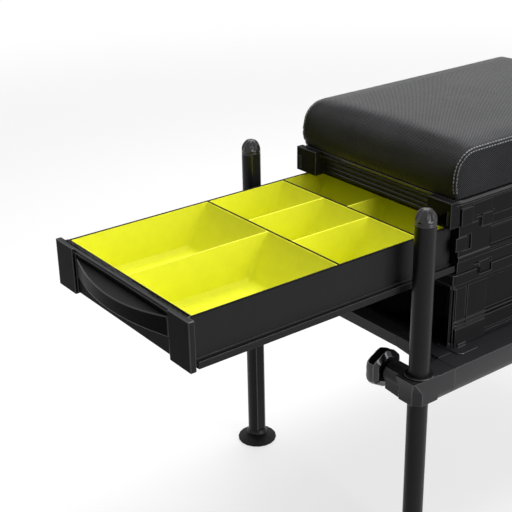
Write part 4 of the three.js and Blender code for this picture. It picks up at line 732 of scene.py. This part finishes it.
def evened_out(mesh, values):
    """Values averaged between neighbouring points, so taut vinyl keeps no sharp puckers."""
    ends = np.zeros(len(mesh.edges) * 2, np.int32)
    mesh.edges.foreach_get("vertices", ends)
    first, second = ends[::2], ends[1::2]
    count = np.maximum(np.bincount(ends, minlength=len(values)), 1)[:, None]
    for _ in range(EVENING_ROUNDS):
        total = np.zeros_like(values)
        np.add.at(total, first, values[second])
        np.add.at(total, second, values[first])
        values = 0.5 * values + 0.5 * total / count
    return values


def seam_distance(points, seams):
    """Distance of each point to the nearest seam line."""
    best = np.full(len(points), np.inf)
    for seam in seams:
        for place in seam:
            best = np.minimum(best, np.linalg.norm(points - np.array(place), axis=1))
    return best


def draw_seams(cover, seams, width, depth):
    """Draw the cover in along its seams."""
    mesh = cover.data
    points = vertex_rows(mesh, "co")
    draw = depth * np.clip(1 - seam_distance(points, seams) / width, 0, 1) ** 2
    points -= vertex_rows(mesh, "normal") * draw[:, None]
    mesh.vertices.foreach_set("co", points.ravel())
    mesh.update()


class SEATBOX_OT_cushion(Operator):
    """Foam-filled vinyl cover on the lid, with a welted and stitched seam along each side"""

    bl_idname = "seatbox.cushion"
    bl_label = "Cushion"

    def execute(self, context):
        sizes = context.scene.seat_box_cushion
        colours = context.scene.seat_box_colours
        vinyl = named_material("Woven vinyl", vinyl_material, colours, sizes.weave_pitch)
        seams = [evened(seam_line(side), SEAM_STEP) for side in (1, -1)]
        cover = shrunk_cover(sizes.cell, sizes.start_inset)
        fill_cover(cover, sizes.pressure, sizes.reach, seams, sizes.seam_width)
        draw_seams(cover, seams, sizes.seam_width, sizes.seam_depth)
        cover.data.shade_smooth()
        cover.data.materials.clear()
        cover.data.materials.append(vinyl)
        given(cover.modifiers.new("Smooth", "SUBSURF"), levels=1, render_levels=1)
        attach(cover, "lid")
        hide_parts("cushion")
        self.sew(cover, seams, sizes, colours, vinyl)
        return {"FINISHED"}

    def sew(self, cover, seams, sizes, colours, vinyl):
        """Welt and two rows of stitches along each seam."""
        surface = BVHTree.FromObject(cover, bpy.context.evaluated_depsgraph_get())
        low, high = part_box("cushion")
        centre = (low + high) / 2
        welts, stitches = bmesh.new(), bmesh.new()
        for seam in seams:
            side = 1 if seam[0].x > centre.x else -1
            path = [surface.find_nearest(point)[0] for point in evened(seam, WELT_STEP)]
            tube_between(welts, path, sizes.welt_radius, sides=8)
            for row in (-1, 1):
                self.stitch_row(stitches, surface, seam, side, row, sizes, centre)
        thread = named_material("Sewing thread", thread_material, colours.stitch)
        for name, bm, material, slot in (
            ("cushion_welts", welts, vinyl, "vinyl"),
            ("cushion_stitches", stitches, thread, "vinyl"),
        ):
            piece = piece_from_bmesh(name, bm, material)
            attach(piece, "lid")

    def stitch_row(self, bm, surface, seam, side, row, sizes, centre):
        """Stitches beside a seam: row -1 on the top panel, row 1 on the side panel."""
        points = evened(seam, sizes.stitch_pitch)
        for first, second in zip(points, points[1:]):
            along = (second - first).normalized()
            middle = (first + second) / 2
            inward = Vector((0, -along.z, along.y))
            if inward.dot(centre - middle) < 0:
                inward.negate()
            shift = Vector((-side, 0, 0)) if row < 0 else inward
            place, normal, _, _ = surface.find_nearest(middle + shift * sizes.stitch_offset)
            reach = along * sizes.stitch_length / 2
            lift = normal * sizes.stitch_radius * 0.5
            shares = ((-1, 0), (-STITCH_FLAT, 1), (0, 1), (STITCH_FLAT, 1), (1, 0))
            path = [place + reach * share + lift * raised for share, raised in shares]
            tube_between(bm, path, sizes.stitch_radius, sides=6)


# Rigid pieces


def corner_nodes(name):
    """The four nodes of a name, one at each corner."""
    return [f"{name}_{corner}" for corner in CORNERS]


SLOT_LAP = 0.0016
SLOT_DEPTH = 0.001
RIB_GAP = 0.0001
RIB_DROP = 0.0037
RIB_RISE = 0.0013
LIP_GAP = 0.0002
LIP_RISE = 0.001


class SEATBOX_OT_casings(Operator):
    """Stacked units, lid and the catches between them"""

    bl_idname = "seatbox.casings"
    bl_label = "Casings"

    def execute(self, context):
        edges = context.scene.seat_box_edges
        # The casings' edge finish is glossier and painted lighter, a painted highlight.
        casing, edge_finish = moulded_material("Casing plastic"), moulded_material("Casing edges")
        moulded = ["deep_unit", "drawer_unit", "tray_unit"]
        moulded += corner_nodes("upper_catch") + corner_nodes("lower_catch")
        finish_nodes(moulded, casing, edges.moulded, edge_finish=edge_finish)
        finish_nodes(("lid_plate",), moulded_material("Lid rim plastic"), edges.rim, 3)
        self.add_slots(context.scene.seat_box_catches)
        return {"FINISHED"}

    def add_slots(self, sizes):
        """Thin dark plate on the unit beside each catch, at the end nearest the box's corner: a
        painted shadow standing in for a finger slot's recess.
        """
        shade = moulded_material("Slot shade")
        reach = sizes.slot_width - SLOT_LAP
        for level in ("upper", "lower"):
            rise, head = getattr(sizes, f"{level}_rise"), getattr(sizes, f"{level}_head")
            for corner in CORNERS:
                low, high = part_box(f"{level}_catch_{corner}")
                side = 1 if "right" in corner else -1
                face = side * (max(high.x, -low.x) + rise)
                end, away = (low.y, -1) if "front" in corner else (high.y, 1)
                back, lap = face - side * SLOT_DEPTH, end - away * SLOT_LAP
                foot = (back, lap, high.z - sizes.slot_foot)
                slot = box_bmesh(foot, (face, end + away * reach, high.z - head))
                piece = piece_from_bmesh(f"{level}_slot_{corner}", slot, shade, smooth=False)
                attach(piece, "seat_frame")


class SEATBOX_OT_drawer(Operator):
    """Drawer shell, its front, handle and runner channels"""

    bl_idname = "seatbox.drawer"
    bl_label = "Drawer"

    def execute(self, context):
        edges = context.scene.seat_box_edges
        plastic = moulded_material("Drawer plastic")
        shell = ("drawer_body", "drawer_channel_right", "drawer_channel_left")
        finish_nodes(shell, plastic, edges.moulded, edge_finish=moulded_material("Drawer edges"))
        front = ("drawer_front", "drawer_handle")
        # The front's edge finish is glossier and painted lighter, a painted highlight.
        finish_nodes(front, plastic, edges.rim, 3, edge_finish=moulded_material("Front edges"))
        shade = moulded_material("Rib plastic")
        for name, first, second in self.dark_tops():
            bar = piece_from_bmesh(name, box_bmesh(first, second), shade, smooth=False)
            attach(bar, "drawer")
        return {"FINISHED"}

    def dark_tops(self):
        """Name and corners of the dark bar on each cross rib and along the top of each side: rib
        plastic darkened further, a painted shade in the gaps beside the liners.
        """
        liners = ("insert_front", "insert_middle", "insert_rear")
        for i, (front, back) in enumerate(zip(liners, liners[1:])):
            low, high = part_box(front)
            start, end = high.y + RIB_GAP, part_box(back)[0].y - RIB_GAP
            first = (low.x, start, high.z - RIB_DROP)
            yield f"rib_top_{i + 1}", first, (high.x, end, high.z + RIB_RISE)
        low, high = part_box("drawer_body")
        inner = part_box("insert_front")[1].x + LIP_GAP
        for name, side in (("right", 1), ("left", -1)):
            first = (side * inner, low.y, high.z - LIP_RISE)
            yield f"drawer_lip_{name}", first, (side * high.x, high.y, high.z + LIP_RISE)


class SEATBOX_OT_inserts(Operator):
    """Lime liners in the drawer"""

    bl_idname = "seatbox.inserts"
    bl_label = "Inserts"

    def execute(self, context):
        width = context.scene.seat_box_edges.insert
        liners = ("insert_front", "insert_middle", "insert_rear")
        finish_nodes(liners, moulded_material("Insert lime"), width, flatten=False)
        return {"FINISHED"}


class SEATBOX_OT_frame(Operator):
    """Rails, corner castings and base plates"""

    bl_idname = "seatbox.frame"
    bl_label = "Frame"

    def execute(self, context):
        width = context.scene.seat_box_edges.metal
        edge_finish = moulded_material("Frame edges")
        rails = ("side_rail_right", "side_rail_left", "cross_rail_front", "cross_rail_rear")
        finish_nodes(rails, moulded_material("Rail coating"), width, edge_finish=edge_finish)
        castings = corner_nodes("corner_bracket") + corner_nodes("base_plate")
        finish_nodes(castings, moulded_material("Bracket paint"), width, edge_finish=edge_finish)
        return {"FINISHED"}


class SEATBOX_OT_legs(Operator):
    """Leg tubes, bushes, clamp knobs and feet"""

    bl_idname = "seatbox.legs"
    bl_label = "Legs"

    def execute(self, context):
        edges = context.scene.seat_box_edges
        tube = leg_material(context.scene.seat_box_colours.leg)
        bush = moulded_material("Bush plastic")
        shine = moulded_material("Leg edges")
        finish_nodes(corner_nodes("leg_tube"), tube, edges.metal, edge_finish=shine)
        shine = moulded_material("Bush edges")
        finish_nodes(corner_nodes("leg_bush"), bush, edges.moulded, edge_finish=shine)
        finish_nodes(corner_nodes("foot_socket"), bush, edges.small)
        knob, shine = moulded_material("Knob plastic"), moulded_material("Knob edges")
        finish_nodes(corner_nodes("clamp_knob"), knob, edges.rim, 3, edge_finish=shine)
        finish_nodes(corner_nodes("foot"), moulded_material("Foot rubber"), edges.moulded)
        return {"FINISHED"}


CAP_PROFILE = (
    (0.75, 0.0, 0.0), (0.97, 0.0, 0.0), (1.0, 0.0006, 0.0), (1.0, 0.0024, 0.0),
    (0.95, 0.0028, 0.0), (0.95, 0.0042, 0.0), (1.0, 0.0046, 0.0), (1.0, 0.0070, 0.0),
    (0.998, 0.0085, 0.5),
)
CAP_OVERHANG = 0.0002
DOME_RISE = 0.0185
DOME_RINGS = 11
DOME_STEP = math.radians(7.2)
STEPS_PER_FLUTE = 10
FLUTE_POWER = 0.8
CROWN_FADE = 1.4


class SEATBOX_OT_caps(Operator):
    """Fluted domes plugged into the tops of the legs"""

    bl_idname = "seatbox.caps"
    bl_label = "Leg caps"

    def execute(self, context):
        sizes = context.scene.seat_box_caps
        plastic = moulded_material("Cap plastic")
        for corner in CORNERS:
            node = f"leg_cap_{corner}"
            piece = piece_from_bmesh(f"fluted_cap_{corner}", self.dome(node, sizes), plastic)
            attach(piece, f"leg_{corner}")
            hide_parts(node)
        return {"FINISHED"}

    def dome(self, node, sizes):
        """Rings from the plug in the tube to the crown, hollowed between the ribs.

        A ring is a share of the cap's radius, a height over the tube's end and a flute's depth.
        """
        low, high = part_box(node)
        radius = (high.y - low.y) / 2 + CAP_OVERHANG
        shoulder = CAP_PROFILE[-1][1]
        seat = high.z - shoulder - DOME_RISE
        profile = [(CAP_PROFILE[0][0], low.z - seat, 0.0), *CAP_PROFILE]
        for i in range(1, DOME_RINGS + 1):
            turn = DOME_STEP * i
            profile.append((math.cos(turn), shoulder + DOME_RISE * math.sin(turn), 1.0))
        bm = bmesh.new()
        steps = sizes.flutes * STEPS_PER_FLUTE
        middle = (low + high) / 2
        rings = []
        for share, height, fluted in profile:
            ring = []
            for k in range(steps):
                angle = 2 * math.pi * k / steps
                hollow = (0.5 - 0.5 * math.cos(sizes.flutes * angle)) ** FLUTE_POWER
                depth = sizes.depth * fluted * hollow * min(1.0, share * CROWN_FADE)
                reach = radius * share - depth
                x, y = middle.x + reach * math.cos(angle), middle.y + reach * math.sin(angle)
                ring.append(bm.verts.new((x, y, seat + height)))
            rings.append(ring)
        bridge(bm, rings)
        bm.faces.new(rings[0][::-1])
        bm.faces.new(rings[-1])
        return bm


class SEATBOX_OT_hinge(Operator):
    """Long hinge of the lid"""

    bl_idname = "seatbox.hinge"
    bl_label = "Hinge"

    def execute(self, context):
        edges = context.scene.seat_box_edges
        steel = named_material("Plated steel", steel_material, context.scene.seat_box_colours.steel)
        finish_nodes(("hinge_box_leaf", "hinge_lid_leaf", "hinge_pin"), steel, edges.small, 1)
        return {"FINISHED"}


SCREW_PROFILE = (
    (0.0, 0.35), (0.40, 0.35), (0.46, 0.94), (0.56, 1.0), (0.82, 0.80), (0.97, 0.36), (1.0, 0.0),
)
SCREW_RISE = 0.55
SCREW_ROOT = 0.1
SCREW_STEPS = 24
HINGE_LEAF = 0.002
HINGE_END = 0.025
HINGE_SCREW_HEIGHT = 0.0095
RAIL_END = 0.018
RAIL_LINE = 0.232


def screw_bmesh(place, outwards, radius):
    """Dished button head with a socket, on a surface. Its profile is in shares of its size."""
    turn = Vector((0, 0, 1)).rotation_difference(Vector(outwards)).to_matrix()
    rise = radius * SCREW_RISE
    profile = [(radius * across, rise * height) for across, height in SCREW_PROFILE]
    bm = bmesh.new()
    rings = []
    for across, height in (*profile, (0.0, -radius * SCREW_ROOT)):
        ring = []
        for k in range(SCREW_STEPS if across > 0 else 1):
            angle = 2 * math.pi * k / SCREW_STEPS
            point = Vector((across * math.cos(angle), across * math.sin(angle), height))
            ring.append(bm.verts.new(turn @ point + Vector(place)))
        rings.append(ring)
    bridge(bm, rings)
    return bm


class SEATBOX_OT_fasteners(Operator):
    """Button-head screws that hold the hinge to the tray and the rails to the castings"""

    bl_idname = "seatbox.fasteners"
    bl_label = "Fasteners"

    def execute(self, context):
        sizes = context.scene.seat_box_screws
        steel = named_material("Plated steel", steel_material, context.scene.seat_box_colours.steel)
        low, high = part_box("hinge_box_leaf")
        face, height = high.x - HINGE_LEAF, low.z + HINGE_SCREW_HEIGHT
        first, last = low.y + HINGE_END, high.y - HINGE_END
        places = []
        for i in range(sizes.hinge_count):
            along = first + (last - first) * i / (sizes.hinge_count - 1)
            places.append(((face, along, height), (-1, 0, 0), sizes.hinge_radius))
        for rail in ("side_rail_right", "side_rail_left"):
            low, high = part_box(rail)
            line = RAIL_LINE if "right" in rail else -RAIL_LINE
            for end in (low.y + RAIL_END, high.y - RAIL_END):
                places.append(((line, end, low.z), (0, 0, -1), sizes.rail_radius))
        for rail in ("cross_rail_front", "cross_rail_rear"):
            low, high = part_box(rail)
            middle = (low.y + high.y) / 2
            for end in (low.x + RAIL_END, high.x - RAIL_END):
                places.append(((end, middle, low.z), (0, 0, -1), sizes.rail_radius))
        for i, (place, outwards, radius) in enumerate(places):
            piece = piece_from_bmesh(f"screw_{i + 1}", screw_bmesh(place, outwards, radius), steel)
            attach(piece, "seat_frame")
        return {"FINISHED"}


# Stage


def area_lamp(name, power, size, place, target):
    """Square lamp at a place, turned to a target."""
    lamp = given(bpy.data.lights.new(name, "AREA"), size=size, energy=power)
    holder = link(bpy.data.objects.new(name, lamp))
    holder.location = place
    holder.rotation_euler = (Vector(target) - Vector(place)).to_track_quat("-Z", "Y").to_euler()


WHITE = (1.0, 1.0, 1.0, 1.0)
FLOOR_REACH = 7.0
FLOOR_DROP = 0.0005
FLOOR_NEAR = 1.2
FLOOR_FAR = 5.5
FLOOR_GREY = (0.34, 0.34, 0.34)
FLOOR_DIM = (0.05, 0.05, 0.05, 1.0)
FLOOR_GLOW = 0.68
BRIGHT_SIDE = Vector((-0.50, 0.83, 0.25)).normalized()
ROOM_DARK = 0.03


def seen_or_plain(tree, seen, plain):
    """One shader where the camera or a reflection looks, and another for plain light."""
    path = add_node(tree, "LightPath", {}).outputs
    glossy = math_node(tree, "ADD", path["Is Camera Ray"], path["Is Glossy Ray"])
    eye = math_node(tree, "ADD", glossy, path["Is Transmission Ray"], clamp=True)
    values = {0: eye, 1: plain.outputs[0], 2: seen.outputs[0]}
    return add_node(tree, "MixShader", values).outputs[0]


class SEATBOX_OT_stage(Operator):
    """Camera at the photograph's angle, pale floor and soft lamps"""

    bl_idname = "seatbox.stage"
    bl_label = "Stage"

    def execute(self, context):
        stage = context.scene.seat_box_stage
        self.add_camera(context.scene, stage)
        self.add_floor()
        self.add_world(context.scene, stage)
        area_lamp("Top lamp", stage.key, size=2.4, place=(-0.5, 0.7, 3.2), target=(0, -0.1, 0.5))
        area_lamp("Side lamp", stage.side, size=2.0, place=(3.2, 0.5, 1.6), target=(0, 0.1, 0.45))
        context.scene.view_settings.view_transform = "Standard"
        return {"FINISHED"}

    def add_camera(self, scene, stage):
        turn, rise = stage.azimuth, stage.elevation
        level = math.cos(rise)
        back = Vector((math.sin(turn) * level, -math.cos(turn) * level, math.sin(rise)))
        right = Vector((math.cos(turn), math.sin(turn), 0.0))
        up = back.cross(right)
        lean = Matrix.Rotation(stage.roll, 3, back)
        lens = bpy.data.cameras.new("Camera")
        given(lens, lens=stage.lens, sensor_width=36.0, clip_end=60.0)
        camera = link(bpy.data.objects.new("Camera", lens))
        axes = Matrix((lean @ right, lean @ up, back)).transposed()
        camera.matrix_world = Matrix.Translation(stage.camera_place) @ axes.to_4x4()
        scene.camera = camera

    def add_floor(self):
        bm = bmesh.new()
        bmesh.ops.create_grid(bm, x_segments=2, y_segments=2, size=FLOOR_REACH)
        floor = piece_from_bmesh("studio_floor", bm, self.floor_material(), smooth=False)
        floor.location.z = -FLOOR_DROP

    def floor_material(self):
        """Pale floor that keeps the shadow and turns into the white backdrop further out."""
        material, tree, shader, place = new_material("Pale floor")
        reach = add_node(tree, "VectorMath", {0: place.outputs["Object"]}, operation="LENGTH")
        away = ranged(tree, reach.outputs["Value"], low=FLOOR_NEAR, high=FLOOR_FAR)
        plug(tree, shader, {
            "Base Color": mixed_colour(tree, away, FLOOR_GREY, (0.0, 0.0, 0.0)),
            "Roughness": 0.9, "Specular IOR Level": 0.0,
        })
        glow = add_node(tree, "Emission", {"Strength": ranged(tree, away, to_low=FLOOR_GLOW)})
        both = add_node(tree, "AddShader", {0: shader.outputs[0], 1: glow.outputs[0]})
        dim = add_node(tree, "BsdfDiffuse", {"Color": FLOOR_DIM})
        plug(tree, tree.nodes["Material Output"], {"Surface": seen_or_plain(tree, both, dim)})
        return material

    def add_world(self, scene, stage):
        """White to the eye, and a room that is brighter behind for plain light."""
        world = bpy.data.worlds.new("Studio")
        world.use_nodes = True
        tree = world.node_tree
        white = plug(tree, tree.nodes["Background"], {"Color": WHITE, "Strength": 1.0})
        around = add_node(tree, "TexCoord", {}).outputs["Generated"]
        aim = add_node(tree, "VectorMath", {0: around, 1: BRIGHT_SIDE}, operation="DOT_PRODUCT")
        level = ranged(tree, aim.outputs["Value"], high=0.9, to_low=ROOM_DARK, to_high=stage.world)
        room = add_node(tree, "Background", {"Color": WHITE, "Strength": level})
        plug(tree, tree.nodes["World Output"], {"Surface": seen_or_plain(tree, white, room)})
        scene.world = world


class SEATBOX_PT_panel(Panel):
    """Seat box pieces"""

    bl_label = "Seat Box"
    bl_idname = "SEATBOX_PT_panel"
    bl_space_type = "VIEW_3D"
    bl_region_type = "UI"
    bl_category = "Seat Box"

    def draw(self, context):
        scene = context.scene
        for operator in OPERATORS:
            self.layout.operator(operator.bl_idname)
        for name in GROUPS:
            column = self.layout.column()
            for entry in getattr(scene, name).__annotations__:
                column.prop(getattr(scene, name), entry)


GROUPS = {
    "seat_box_colours": SEATBOX_PG_colours,
    "seat_box_cushion": SEATBOX_PG_cushion,
    "seat_box_edges": SEATBOX_PG_edges,
    "seat_box_catches": SEATBOX_PG_catches,
    "seat_box_caps": SEATBOX_PG_caps,
    "seat_box_screws": SEATBOX_PG_screws,
    "seat_box_stage": SEATBOX_PG_stage,
}
OPERATORS = (
    SEATBOX_OT_cushion, SEATBOX_OT_casings, SEATBOX_OT_drawer, SEATBOX_OT_inserts,
    SEATBOX_OT_frame, SEATBOX_OT_legs, SEATBOX_OT_caps, SEATBOX_OT_hinge,
    SEATBOX_OT_fasteners, SEATBOX_OT_stage,
)
CLASSES = (*GROUPS.values(), *OPERATORS, SEATBOX_PT_panel)


def register():
    for cls in CLASSES:
        bpy.utils.register_class(cls)
    for name, group in GROUPS.items():
        setattr(bpy.types.Scene, name, PointerProperty(type=group))


def unregister():
    for name in GROUPS:
        delattr(bpy.types.Scene, name)
    for cls in reversed(CLASSES):
        bpy.utils.unregister_class(cls)


def main():
    register()
    for operator in OPERATORS:
        family, name = operator.bl_idname.split(".")
        getattr(getattr(bpy.ops, family), name)()


if __name__ == "__main__":
    main()
